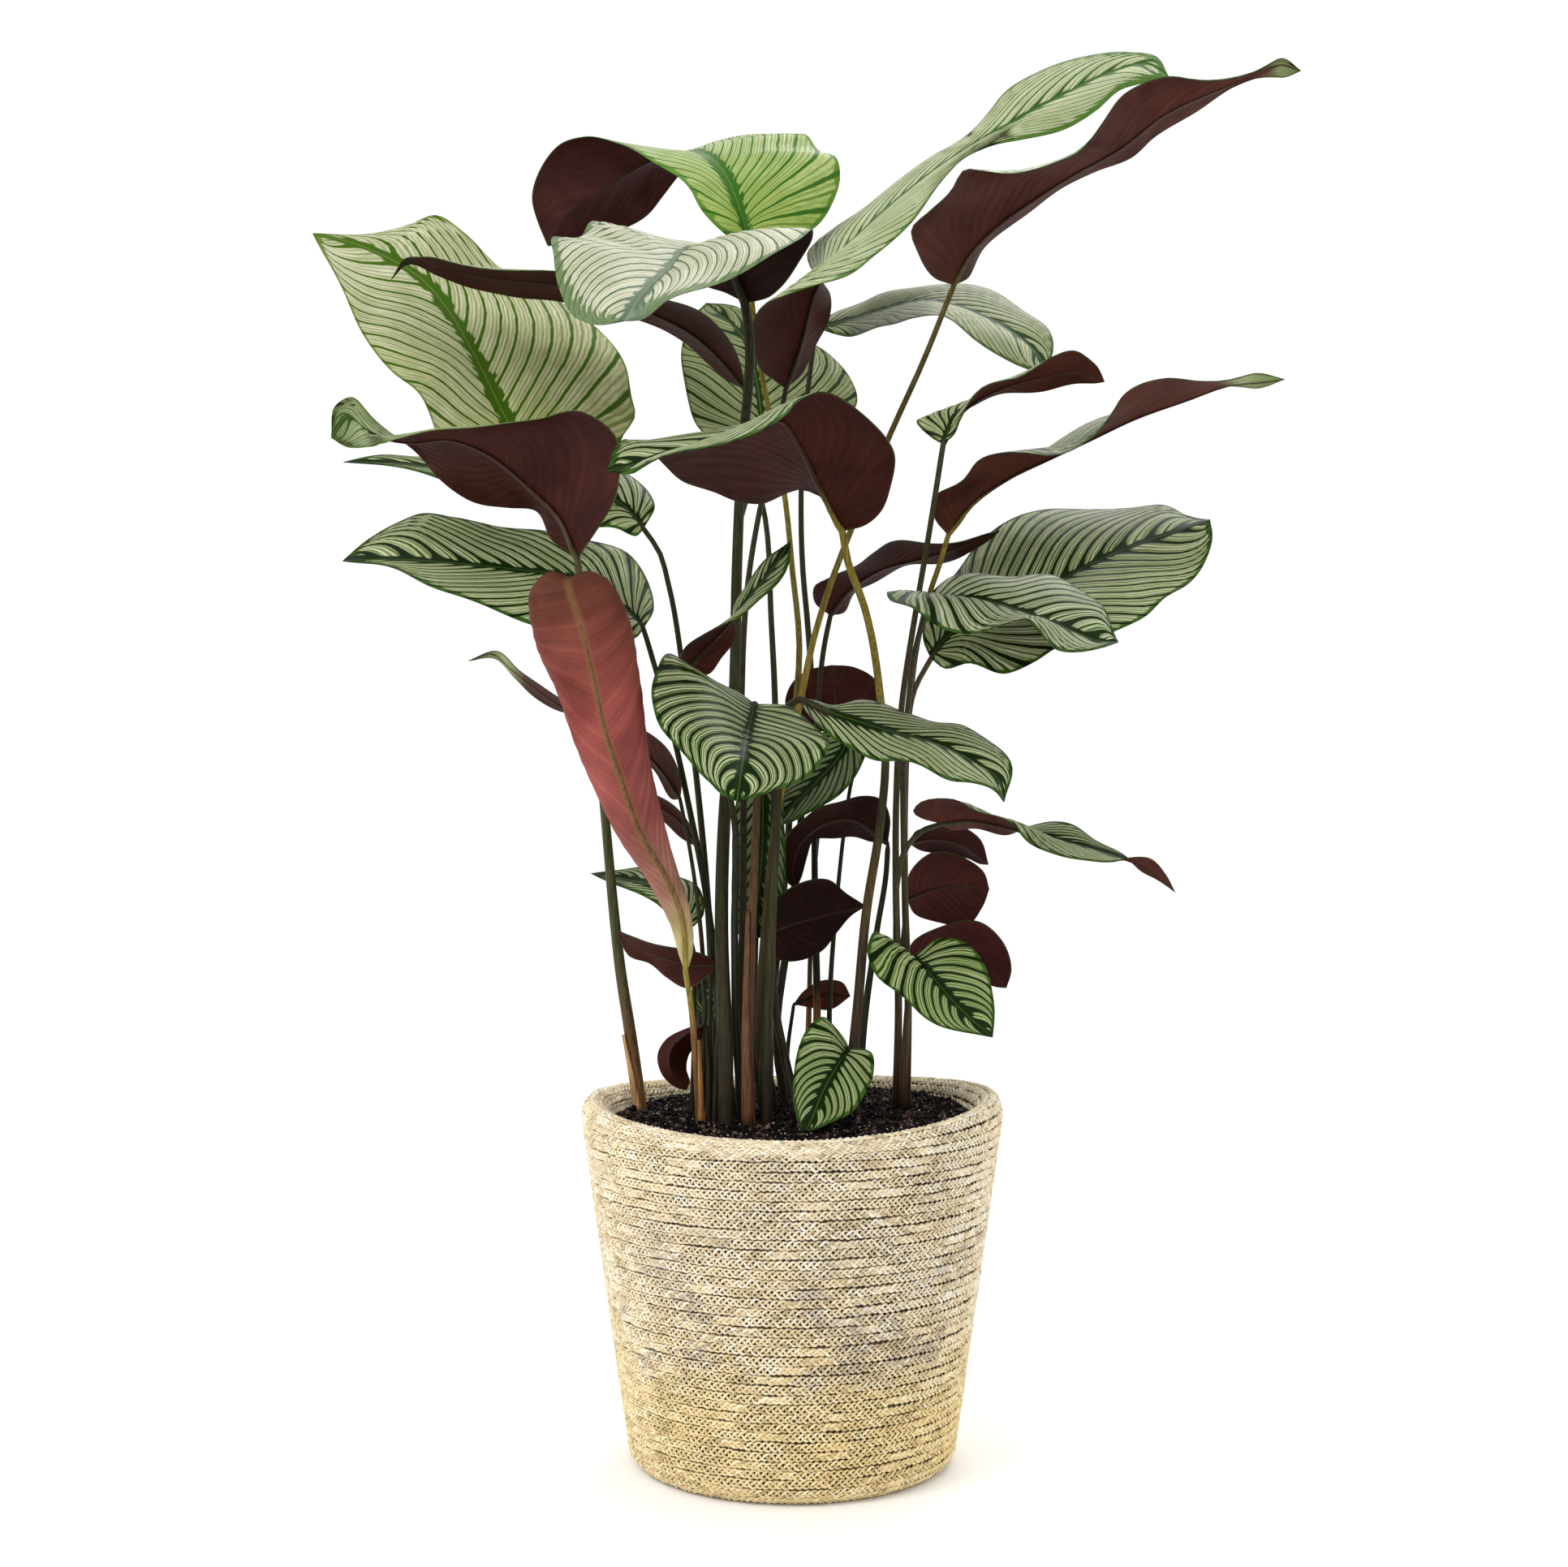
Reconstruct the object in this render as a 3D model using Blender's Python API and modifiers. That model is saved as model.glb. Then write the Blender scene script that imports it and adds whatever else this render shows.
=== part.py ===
"""A potted calathea: thirty-nine striped leaves on long stalks, standing in soil in a seagrass basket.

Metres, +Z up, with the viewer at -Y. The origin is under the middle of the basket's flat bottom.
"""
import math

import bpy
import numpy as np

MM = 0.001
GAP = 0.0003  # between pieces that touch
SIDES = 48  # of every turned piece

# Basket: a cone of thick seagrass with a soft rim, which stands higher at its two sides
FOOT_RADIUS = 0.0991  # the cone's radius where it would meet the table
FLARE = 0.143  # growth of the radius with height
FOOT_ROUND = 0.012
RIM_HEIGHT = 0.2195
CREST_RADIUS = 0.1235
LIP_DROP = 0.0095  # from the crest down to the outer wall
MOUTH_RADIUS = 0.110
MOUTH_HEIGHT = 0.2045
FLOOR_RADIUS = 0.090
FLOOR = 0.009
RIM_WAVE = 0.0038  # the sides up, the front and back down
RIM_TO_BACK = 0.0018
RIM_TO_RIGHT = 0.0013

# Liner: a plain plastic pot that keeps the wet soil off the seagrass
LINER = 0.0012
LINER_TOP = 0.200

# Soil: filled to just under the rim, a little higher at the back and on the right
SOIL_HEIGHT = 0.2095
SOIL_TO_BACK = 0.030  # rise over run
SOIL_TO_RIGHT = 0.020
ROOT_HEIGHT = 0.170  # where the stalks end in the soil
HOLE_GAP = 0.00035
HOLE_SIDES = 10

# Leaves: a round stalk that thins upwards and runs on as the midrib under a thin blade
VIEW = np.array([-0.005, -1.350, 0.414])  # the point that the stations below are seen from
SPREAD = 0.7  # how much further front and back the crown opens than the stalks stand
SPREAD_FROM = 0.24
SPREAD_FULL = 0.60
BLADE = 0.0008
TIP_HALF_WIDTH = 0.0007
RIB_THINNING = 0.85  # of the midrib, from the blade's base to its tip
BULGE = 0.06  # height of each half between midrib and edge, over its width
RIPPLE_REACH = 0.020  # half-width from which an edge ripples in full
RIPPLE_PHASE = 0.3  # of a wave, by which the right edge leads the midrib and the left one trails it
TAPER = 1.5  # how quickly the stalk thins above the soil
LARGE = {
    "neck": 0.0017, "base": 0.0028, "ripple": 0.0015, "waves": 3.0, "steps": 4,
    "cuts": np.array([0, 0.03, 0.09, 0.17, 0.26, 0.35, 0.45, 0.55, 0.65, 0.75, 0.85, 0.94, 1]),
    "across": np.array([-1, -0.5, 0, 0.5, 1]),
}
SMALL = {
    "neck": 0.0012, "base": 0.0020, "ripple": 0.0008, "waves": 2.0, "steps": 3,
    "cuts": np.array([0, 0.04, 0.13, 0.26, 0.42, 0.58, 0.75, 0.9, 1]),
    "across": np.array([-1, 0, 1]),
}

for old in list(bpy.data.objects):
    bpy.data.objects.remove(old, do_unlink=True)

parts = bpy.data.collections.new("potted_calathea")
cutters = bpy.data.collections.new("cutters")
bpy.context.scene.collection.children.link(parts)
bpy.context.scene.collection.children.link(cutters)


def material(name, hex_colour, roughness):
    """A Principled material of one sRGB colour."""
    mat = bpy.data.materials.new(name)
    mat.use_nodes = True
    shader = mat.node_tree.nodes["Principled BSDF"]
    channels = [int(hex_colour[i:i + 2], 16) / 255 for i in (1, 3, 5)]
    linear = [((c + 0.055) / 1.055) ** 2.4 if c > 0.04045 else c / 12.92 for c in channels]
    shader.inputs["Base Color"].default_value = (*linear, 1)
    shader.inputs["Roughness"].default_value = roughness
    shader.inputs["Metallic"].default_value = 0
    return mat


SEAGRASS = material("seagrass", "#b5a67f", 0.9)
PLASTIC = material("liner_plastic", "#1d1d1c", 0.5)
EARTH = material("potting_soil", "#1a1512", 0.95)
STALK = material("stalk", "#3b3a20", 0.5)
UPPER = material("leaf_upper", "#9aab6a", 0.4)
UNDER = material("leaf_under", "#4a231f", 0.5)


def add(name, mesh, *materials):
    obj = bpy.data.objects.new(name, mesh)
    parts.objects.link(obj)
    for mat in materials:
        mesh.materials.append(mat)
    return obj


def turned(name, profile, mat):
    """The mesh swept by a profile of (radius, height) pairs, which starts and ends on the axis."""
    mesh = bpy.data.meshes.new(name)
    links = [(i, i + 1) for i in range(len(profile) - 1)]
    mesh.from_pydata([(radius, 0, height) for radius, height in profile], links, [])
    obj = add(name, mesh, mat)
    screw = obj.modifiers.new("Turn", "SCREW")
    screw.steps = SIDES
    screw.render_steps = SIDES
    screw.use_merge_vertices = True
    screw.merge_threshold = 0.00001
    bpy.context.view_layer.update()
    ready = obj.evaluated_get(bpy.context.evaluated_depsgraph_get())
    obj.data = bpy.data.meshes.new_from_object(ready)
    obj.modifiers.clear()
    bpy.data.meshes.remove(mesh)
    obj.data.name = name
    obj.data.shade_smooth()
    obj.data.set_sharp_from_angle(angle=math.radians(40))
    return obj


def raise_points(obj, lift):
    """Moves each point up by lift(x, y, z)."""
    for point in obj.data.vertices:
        point.co.z += lift(*point.co)
    obj.data.update()


def arc(centre, radii, start, end, count):
    """Points on an ellipse from start to end, in degrees from the direction away from the axis."""
    angles = np.radians(np.linspace(start, end, count))
    return [(centre[0] + radii[0] * math.cos(a), centre[1] + radii[1] * math.sin(a)) for a in angles]


def outside(height):
    """Radius of the basket's outer wall."""
    return FOOT_RADIUS + FLARE * height


def inside(height):
    """Radius of the basket's inner wall."""
    return FLOOR_RADIUS + (MOUTH_RADIUS - FLOOR_RADIUS) * (height - FLOOR) / (MOUTH_HEIGHT - FLOOR)


def soil_height(x, y):
    return SOIL_HEIGHT + SOIL_TO_RIGHT * x + SOIL_TO_BACK * y


def basket():
    """One thick shell; its rim is then lifted by a wave round the basket."""
    shoulder = RIM_HEIGHT - LIP_DROP
    foot = FOOT_RADIUS + FLARE * FOOT_ROUND - FOOT_ROUND * math.hypot(1, FLARE)
    profile = [(0, FLOOR), (FLOOR_RADIUS, FLOOR)]
    lip = (CREST_RADIUS - MOUTH_RADIUS, RIM_HEIGHT - MOUTH_HEIGHT)
    profile += arc((CREST_RADIUS, MOUTH_HEIGHT), lip, 180, 90, 5)
    profile += arc((CREST_RADIUS, shoulder), (outside(shoulder) - CREST_RADIUS, LIP_DROP), 90, 0, 5)[1:]
    profile += arc((foot, FOOT_ROUND), (FOOT_ROUND, FOOT_ROUND), -math.degrees(math.atan(FLARE)), -90, 5)
    profile += [(0, 0)]

    def lift(x, y, z):
        turn = math.atan2(y, x)
        wave = RIM_WAVE * math.cos(2 * turn) + RIM_TO_BACK * math.sin(turn) + RIM_TO_RIGHT * math.cos(turn)
        return wave * max(0, (z - MOUTH_HEIGHT) / (RIM_HEIGHT - MOUTH_HEIGHT))

    raise_points(turned("basket", profile, SEAGRASS), lift)


def liner():
    low = FLOOR + GAP
    turned("liner", [
        (0, low + LINER),
        (inside(low) - GAP - LINER, low + LINER),
        (inside(LINER_TOP) - GAP - LINER, LINER_TOP),
        (inside(LINER_TOP) - GAP, LINER_TOP),
        (inside(low) - GAP, low),
        (0, low),
    ], PLASTIC)


def soil(holes):
    """The plug, with a sloping top and a plain round hole for each (x, y, radius)."""
    low = FLOOR + LINER + 2 * GAP
    wall = LINER + 2 * GAP
    plug = turned("soil", [
        (0, SOIL_HEIGHT),
        (MOUTH_RADIUS - GAP, SOIL_HEIGHT),
        (inside(LINER_TOP) - GAP, LINER_TOP + GAP),
        (inside(LINER_TOP) - wall, LINER_TOP + GAP),
        (inside(low) - wall, low),
        (0, low),
    ], EARTH)
    slope_from = (LINER_TOP + SOIL_HEIGHT) / 2
    raise_points(plug, lambda x, y, z: soil_height(x, y) - SOIL_HEIGHT if z > slope_from else 0)
    bottom = ROOT_HEIGHT - GAP
    height = 2 * (SOIL_HEIGHT - bottom)
    for i, (x, y, radius) in enumerate(holes):
        reach = (radius + HOLE_GAP) / math.cos(math.pi / HOLE_SIDES)
        bpy.ops.mesh.primitive_cylinder_add(
            vertices=HOLE_SIDES, radius=reach, depth=height, location=(x, y, bottom + height / 2))
        cutter = bpy.context.object
        cutter.name = f"hole_{i + 1}"
        for home in list(cutter.users_collection):
            home.objects.unlink(cutter)
        cutters.objects.link(cutter)
        cutter.hide_render = True
        cutter.display_type = "WIRE"
    cut = plug.modifiers.new("Holes", "BOOLEAN")
    cut.operation = "DIFFERENCE"
    cut.operand_type = "COLLECTION"
    cut.collection = cutters
    cut.solver = "EXACT"


def seen(stations):
    """Places of stations: mm to the right and up where they meet the plane y = 0 as seen from VIEW, then
    mm behind that plane along the same sight line, which grow by SPREAD towards the crown."""
    right, up, back = np.array(stations, float).T * MM
    back *= 1 + SPREAD * np.clip((up - SPREAD_FROM) / (SPREAD_FULL - SPREAD_FROM), 0, 1)
    on_plane = np.stack([right, 0 * right, up], axis=1)
    return VIEW + (on_plane - VIEW) * (1 - back / VIEW[1])[:, None]


def unit(vectors):
    return vectors / np.maximum(np.linalg.norm(vectors, axis=-1, keepdims=True), 1e-12)


def smooth(points, at):
    """Places at the fractions `at` along a curve of cubic Hermite pieces through the points."""
    points = np.asarray(points, float)
    gap = np.linalg.norm(np.diff(points, axis=0), axis=1)
    knot = np.concatenate([[0], np.cumsum(gap)])
    slope = np.diff(points, axis=0) / gap[:, None]
    turn = np.empty_like(points)
    turn[0] = slope[0]
    turn[-1] = slope[-1]
    turn[1:-1] = (slope[:-1] * gap[1:, None] + slope[1:] * gap[:-1, None]) / (gap[1:] + gap[:-1])[:, None]
    where = np.clip(at, 0, 1) * knot[-1]
    i = np.clip(np.searchsorted(knot, where, "right") - 1, 0, len(gap) - 1)
    h = gap[i][:, None]
    x = (where - knot[i])[:, None] / h
    start = points[i] * (1 + 2 * x) * (1 - x) ** 2 + turn[i] * h * x * (1 - x) ** 2
    end = points[i + 1] * x * x * (3 - 2 * x) + turn[i + 1] * h * x * x * (x - 1)
    return start + end


def heading(points, at, step=0.02):
    at = np.asarray(at, float)
    return unit(smooth(points, at + step) - smooth(points, at - step))


def blade(form, t, s):
    """The blade's middle sheet at t along it and s across it, -1 at the left edge, 0 on the midrib and
    1 at the right edge: straight out to each edge, plus a bulge between and a ripple towards the edge."""
    mid = smooth(form["mid"], t)
    ahead = heading(form["mid"], t)
    sheet = np.empty((len(t), len(s), 3))
    for side, edge in ((-1, form["left"]), (1, form["right"])):
        columns = np.flatnonzero(s * side >= 0)
        a = np.abs(s[columns])[None, :, None]
        out = smooth(np.vstack([form["mid"][:1], edge, form["mid"][-1:]]), t) - mid
        reach = np.linalg.norm(out, axis=1)[:, None]
        up = unit(np.cross(side * out, ahead))
        wave = np.sin(2 * math.pi * (form["waves"] * t + RIPPLE_PHASE * side))[:, None]
        ripple = form["ripple"] * wave * np.minimum(1, reach / RIPPLE_REACH)
        height = 4 * a * (1 - a) * form["bulge"] * reach[:, None] + a**2 * ripple[:, None]
        sheet[:, columns] = mid[:, None] + a * out[:, None] + height * up[:, None]
    return sheet


def facing(form, t, s, along_step=0.01, across_step=0.12):
    """Unit normals of the blade's upper face, from steps along and across it, clear of its pointed ends."""
    t = np.clip(t, 0.03, 0.985)
    along = blade(form, t + along_step, s) - blade(form, t - along_step, s)
    both = np.concatenate([np.clip(s - across_step, -1, 1), np.clip(s + across_step, -1, 1)])
    sheet = blade(form, t, both)
    return unit(np.cross(sheet[:, len(s):] - sheet[:, :len(s)], along))


feet = []


def leaf(name, foot, stalk, mid, left, right, small=False, **own):
    """One leaf, a loft from the stalk's round sections to the blade's thin ones. foot is where it stands
    on the soil, in mm. The others are stations up the stalk, along the blade's midrib, and along its
    edges, left and right as seen on the upper face with the tip ahead."""
    form = {"bulge": BULGE, **(SMALL if small else LARGE), **own}
    x, y = np.array(foot) * MM
    top = (x, y, soil_height(x, y) + GAP)
    form["mid"], form["left"], form["right"] = seen(mid), seen(left), seen(right)
    stem = np.vstack([[top], seen(stalk), form["mid"][:1]])
    neck, base, across = form["neck"], form["base"], form["across"]
    steps = max(form["steps"], len(stalk) - 1)
    half = len(across)
    middle = half // 2
    corner = 90 / half
    angles = np.linspace(180 - corner, corner, half)
    angles = np.radians(np.concatenate([angles, -angles[::-1]]))[:, None]

    def ring(centre, ahead, up, radius):
        up = unit(up - (up @ ahead) * ahead)
        return centre + radius * (np.cos(angles) * np.cross(ahead, up) + np.sin(angles) * up)

    at = np.linspace(0, 1, steps + 1)[:-1]
    ahead = heading(stem, at, 0.01)
    radii = neck + (base - neck) * (1 - at) ** TAPER
    first_up = facing(form, np.array([0.03]), np.array([0.0]))[0, 0]
    upright = np.array([0, 0, 1.0])
    root = np.array([x, y, ROOT_HEIGHT])
    sections = [ring(root, upright, first_up, base), ring(stem[0], upright, first_up, base)]
    for centre, lead, radius in zip(smooth(stem, at)[1:], ahead[1:], radii[1:]):
        sections.append(ring(centre, lead, first_up, radius))

    cuts = form["cuts"]
    rows = zip(cuts, blade(form, cuts, across), facing(form, cuts, across), heading(form["mid"], cuts))
    for t, row, up, lead in rows:
        if t == 0:
            sections.append(ring(row[middle], lead, up[middle], neck))
            continue
        if t == 1:
            row = row[middle] + across[:, None] * TIP_HALF_WIDTH * unit(np.cross(lead, up[middle]))
            up = np.repeat(up[middle][None], half, 0)
        under = row - up * BLADE / 2
        under[middle] = row[middle] - up[middle] * max(neck * (1 - RIB_THINNING * t), BLADE / 2)
        sections.append(np.vstack([row + up * BLADE / 2, under[::-1]]))

    around = 2 * half
    faces, slots = [], []
    for j in range(len(sections) - 1):
        for i in range(around):
            a, b = j * around + i, j * around + (i + 1) % around
            c, d = a + around, b + around
            column = i if i < half else around - 2 - i
            rising = (column < middle) == (i < half)  # the same diagonal on both faces of the blade
            faces += [(a, b, d), (a, d, c)] if rising else [(a, b, c), (b, d, c)]
            slots += [0 if j <= steps else 1 if i < half else 2] * 2
    last = (len(sections) - 1) * around
    for k in range(1, around - 1):
        faces += [(0, k + 1, k), (last, last + k, last + k + 1)]
        slots += [0, 2]
    mesh = bpy.data.meshes.new(name)
    mesh.from_pydata(np.concatenate(sections).tolist(), [], faces)
    add(name, mesh, STALK, UPPER, UNDER)
    mesh.polygons.foreach_set("material_index", slots)
    mesh.shade_smooth()
    mesh.set_sharp_from_angle(angle=math.radians(60))
    feet.append((x, y, base))


leaf("backlit", (-56, 28),
     [(-56, 252, 30), (-59, 297, 36), (-70.5, 342, 42), (-88, 392, 50), (-108, 447, 60),
      (-127, 497, 68), (-143, 552, 76)],
     [(-155.5, 597, 80), (-178, 642, 85), (-198, 682, 92), (-213, 707, 95), (-228, 724.5, 95),
      (-245.5, 736, 93), (-268, 746, 90), (-295.5, 753, 85)],
     [(-173, 591, 76), (-193, 597, 74), (-212, 617, 72), (-230.5, 654.5, 72), (-245.5, 666, 74),
      (-263, 689.5, 76), (-278, 719.5, 80)],
     [(-135.5, 593, 90), (-112, 609.5, 100), (-104, 628.5, 106), (-97, 639.5, 108), (-99.5, 652, 112),
      (-103, 671, 116), (-120.5, 695.5, 122), (-150.5, 716, 124), (-183, 733, 120), (-202, 753, 115),
      (-218, 764.5, 112), (-238, 758, 104), (-268, 751.5, 94)])
leaf("dark_left", (-95, 28),
     [(-100, 262, 29), (-105.5, 297, 30), (-109.5, 332, 30), (-115.5, 397, 28), (-120.5, 447, 24),
      (-124, 472, 6), (-128, 502, -14), (-130.5, 532, -22)],
     [(-132, 552, -25), (-143, 577, -25), (-163, 597, -22), (-188, 617, -15), (-210.5, 625.5, -8),
      (-238, 624, 0), (-260.5, 629.5, 2), (-274, 641, 2), (-284, 627, 0)],
     [(-120.5, 569.5, -38), (-108, 597, -52), (-109, 629.5, -55), (-128, 643.5, -55), (-158, 638, -48),
      (-188, 633.5, -38), (-218, 633.5, -25), (-246.5, 624.5, -5), (-260.5, 621.5, 5), (-273, 621, 8)],
     [(-145.5, 563, -10), (-158, 581, 8), (-175.5, 583.5, 20), (-198, 589.5, 28), (-218, 602, 26),
      (-232, 617, 18), (-245.5, 628.5, 8), (-260.5, 641, 0), (-272, 652, -4),
      (-281.5, 647, -3)], neck=0.0022, base=0.0042)
leaf("striped_left", (-41, -6),
     [(-44, 252, 0), (-47, 297, 2), (-54, 352, 2), (-63, 397, 4), (-71.5, 437, 8), (-82, 477, 9)],
     [(-91.5, 509.5, 10), (-100.5, 519.5, 11), (-118, 532, 12), (-138, 541, 14), (-168, 545.5, 18),
      (-208, 549.5, 20), (-248, 552, 23), (-277, 551, 25)],
     [(-95.5, 504.5, 4), (-118, 502, 0), (-153, 510.5, -2), (-188, 522, 0), (-218, 534.5, 6),
      (-253, 548, 18)],
     [(-85, 522, 22), (-86.5, 534.5, 30), (-100.5, 554.5, 38), (-125.5, 563, 42), (-153, 571, 45),
      (-183, 572, 46), (-208, 577, 46), (-228, 581, 44), (-243, 576, 38), (-260.5, 564.5, 30)])
leaf("behind_left", (-44, 24),
     [(-49, 252, 32), (-50, 307, 40), (-54, 367, 46), (-60, 427, 46), (-67, 482, 44), (-76, 536, 42),
      (-82, 557, 41)],
     [(-91.5, 571, 40), (-103, 584.5, 41), (-128, 597, 42), (-168, 602, 45), (-208, 607, 45),
      (-243, 611, 42), (-276.5, 612, 40)],
     [(-95.5, 567, 36), (-108, 571, 34), (-130.5, 571, 34), (-163, 587, 34), (-193, 593, 36),
      (-222, 604, 38), (-253, 610, 39)],
     [(-84.5, 584.5, 46), (-88, 594.5, 52), (-105.5, 607, 58), (-138, 613, 62), (-178, 617, 62),
      (-218, 616, 56), (-253, 616.5, 46)])
leaf("rolled_pink", (-56, -20),
     [(-59.5, 247, -21), (-63, 282, -23)],
     [(-65.5, 297, -25), (-68, 332, -28), (-78, 357, -32), (-93, 382, -38), (-105.5, 417, -46),
      (-115.5, 447, -54), (-123, 482, -62), (-132, 517, -70), (-138, 535, -66), (-135, 536, -50)],
     [(-63.5, 307, -21), (-65, 327, -19), (-76, 357, -19), (-85.5, 387, -20), (-93, 417, -24),
      (-99, 447, -28), (-104, 477, -34), (-110.5, 507, -40), (-117, 526, -44), (-127, 533, -44)],
     [(-67.5, 307, -21), (-72, 327, -19), (-85, 357, -19), (-100.5, 387, -20), (-112, 417, -24),
      (-122, 447, -28), (-132, 477, -34), (-143, 507, -40), (-150, 526, -44),
      (-146, 532, -44)], bulge=-0.42)
leaf("thin_left", (-56, 4),
     [(-54, 252, 8), (-55, 307, 4), (-62, 367, -3)],
     [(-69, 404.5, -5), (-80.5, 422, -2), (-98, 439.5, 0), (-118, 452, -2), (-138, 459, -3),
      (-158, 472, -4), (-173, 484, -4), (-185.5, 494, -4), (-199.5, 489.5, -4)],
     [(-68, 414.5, -10), (-78, 436, -14), (-90.5, 445.5, -14), (-113, 454.5, -16), (-135.5, 463, -16),
      (-155.5, 474.5, -14), (-168, 483, -11), (-182, 495.5, -7)],
     [(-73.5, 404, 0), (-85.5, 423.5, 8), (-103, 436, 12), (-128, 455, 11), (-143, 458.5, 10),
      (-158, 467.5, 8), (-170.5, 479, 4), (-184, 491, -1)], small=True)
leaf("small_brown_left", (-49, 14),
     [(-50.5, 252, 16), (-50, 307, 18), (-52, 347, 20)],
     [(-58, 374.5, 18), (-70.5, 392, 16), (-88, 402, 16), (-103, 408, 16), (-113, 411, 16)],
     [(-62, 386, 10), (-78, 404.5, 6), (-93, 410, 6), (-105.5, 413, 11)],
     [(-65, 378.5, 24), (-80.5, 391, 28), (-98, 400, 26), (-108, 407, 20)], small=True)
leaf("small_green_left", (-62, 13),
     [(-60.5, 252, 16), (-61, 297, 18)],
     [(-63.5, 323.5, 16), (-70.5, 339.5, 18), (-83, 349.5, 24), (-100.5, 354.5, 38), (-124, 358.5, 46)],
     [(-71.5, 327, 9), (-80.5, 337, 12), (-93, 345.5, 22), (-110.5, 352, 36)],
     [(-55, 332, 20), (-57, 349.5, 26), (-73, 357, 34), (-90.5, 363, 44), (-108, 360.5, 47)], small=True)
leaf("low_dark_left", (-47, -18),
     [(-46.5, 247, -15), (-44.5, 282, -11)],
     [(-45.5, 302, -5), (-63, 302, 0), (-80.5, 307, 5), (-95.5, 313, 12), (-109, 324.5, 18)],
     [(-53, 308, -10), (-65.5, 311, -10), (-78, 314, -6), (-93, 317.5, 2), (-103, 321.5, 12)],
     [(-53, 294, -3), (-64, 288, 3), (-78, 294.5, 11), (-88, 303.5, 17), (-100.5, 308, 18),
      (-106, 317, 19)], small=True)
leaf("low_curled_left", (-51, -7),
     [(-51.5, 242, -7)],
     [(-53, 266, -6), (-65.5, 259.5, -9), (-75, 249.5, -10), (-75, 237, -10), (-65, 225, -8)],
     [(-64, 263.5, -4), (-78, 256, -3), (-82.5, 247, -2), (-80, 234, -3), (-71, 226.5, -5)],
     [(-56.5, 254.5, -2), (-63, 247, 2), (-65.5, 238, 2), (-63, 229.5, -3)], small=True)
leaf("low_green_back", (-33, 16),
     [(-45.5, 237, 18)],
     [(-48, 265.5, 22), (-53, 277, 24), (-54, 287, 25), (-50.5, 298, 26)],
     [(-54, 269, 24), (-59.5, 279, 26), (-56, 289, 27)],
     [(-45.5, 272, 18), (-46, 283, 20), (-47.5, 292, 23)], small=True)
leaf("dark_crossing", (5, -24),
     [(-2.5, 237, -14), (-10.5, 277, 0), (-13, 322, 6), (-12, 372, 10), (-10.5, 417, 18),
      (-10.5, 463, 34), (-13, 517, 42), (-16.5, 577, 48), (-25.5, 617, 50)],
     [(-29, 657, 46), (-43, 674.5, 46), (-63, 692, 48), (-88, 704.5, 50), (-118, 716, 52),
      (-143, 721, 54), (-188, 726, 56), (-218, 732, 58), (-235.5, 736, 58), (-247, 724.5, 56)],
     [(-30.5, 669.5, 38), (-38, 684.5, 28), (-58, 704.5, 22), (-88, 716, 22), (-118, 724.5, 22),
      (-143, 728, 24), (-178, 731.5, 28), (-208, 734, 38), (-228, 737.5, 48), (-239, 737, 54)],
     [(-35.5, 659.5, 54), (-48, 671, 64), (-63, 683, 74), (-88, 696, 80), (-118, 707, 84),
      (-143, 711, 86), (-168, 712, 86), (-193, 718.5, 84), (-218, 728, 76), (-236.5, 733.5, 64)])
leaf("twisted_top", (-14, 42),
     [(-14, 252, 48), (-8, 322, 56), (-3, 372, 60), (-1, 407, 57), (1, 447, 48), (4.5, 497, 46),
      (0, 547, 54), (-4, 587, 62), (-15, 647, 66), (-22, 687, 64), (-25.5, 722, 52)],
     [(-27, 748, 42), (-35.5, 777, 45), (-43, 792, 52), (-53, 801.5, 62), (-68, 802, 80),
      (-88, 797, 92), (-118, 778.5, 98), (-138, 764.5, 96), (-150.5, 745, 90)],
     [(-33, 748, 39), (-43, 754.5, 36), (-55.5, 766, 38), (-63, 779.5, 44), (-69, 787, 50),
      (-88, 799, 62), (-107, 807, 75), (-128, 813, 85), (-143, 808, 90), (-155.5, 792, 92),
      (-160, 777, 92), (-156.5, 759.5, 91)],
     [(-8, 749, 43), (12, 755.5, 46), (26, 774.5, 54), (29.5, 788, 60), (26, 799.5, 66), (17, 802, 70),
      (7, 813.5, 76), (-4, 812, 80), (-11.5, 815, 84), (-25.5, 807.5, 92), (-45.5, 803, 104),
      (-63, 794.5, 118), (-72, 784.5, 124), (-80.5, 774.5, 124), (-88, 766, 120), (-108, 754.5, 110),
      (-130.5, 748, 100)])
leaf("over_middle", (-40, -30),
     [(-41, 252, -24), (-43.5, 322, -12), (-41.5, 397, -2), (-36, 462, 4), (-34, 547, 6),
      (-32.5, 587, 8), (-30, 627, 7), (-27, 657, 3), (-26, 687, 1)],
     [(-29, 710, 5), (-35.5, 728, 6), (-45, 742, -2), (-59, 744.5, -16), (-78, 729.5, -55),
      (-93, 714.5, -85), (-103, 699, -110)],
     [(-19.5, 711.5, 2), (-8, 718.5, -8), (4.5, 734.5, -18), (12, 748, -24), (12.5, 756.5, -32),
      (4.5, 750.5, -42), (-8, 741, -52), (-23, 732, -60), (-38, 726, -68), (-55.5, 720, -78),
      (-78, 709.5, -92), (-93, 700, -104)],
     [(-40.5, 716, 12), (-54, 722, 18), (-65.5, 734.5, 18), (-73, 744.5, 10), (-93, 748, -2),
      (-109, 754.5, -12), (-122.5, 761, -22), (-132, 750.5, -35), (-146, 751, -45), (-147, 737, -62),
      (-143, 718.5, -80), (-132, 700.5, -97), (-117, 695.5, -106)], neck=0.003, base=0.0048)
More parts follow.
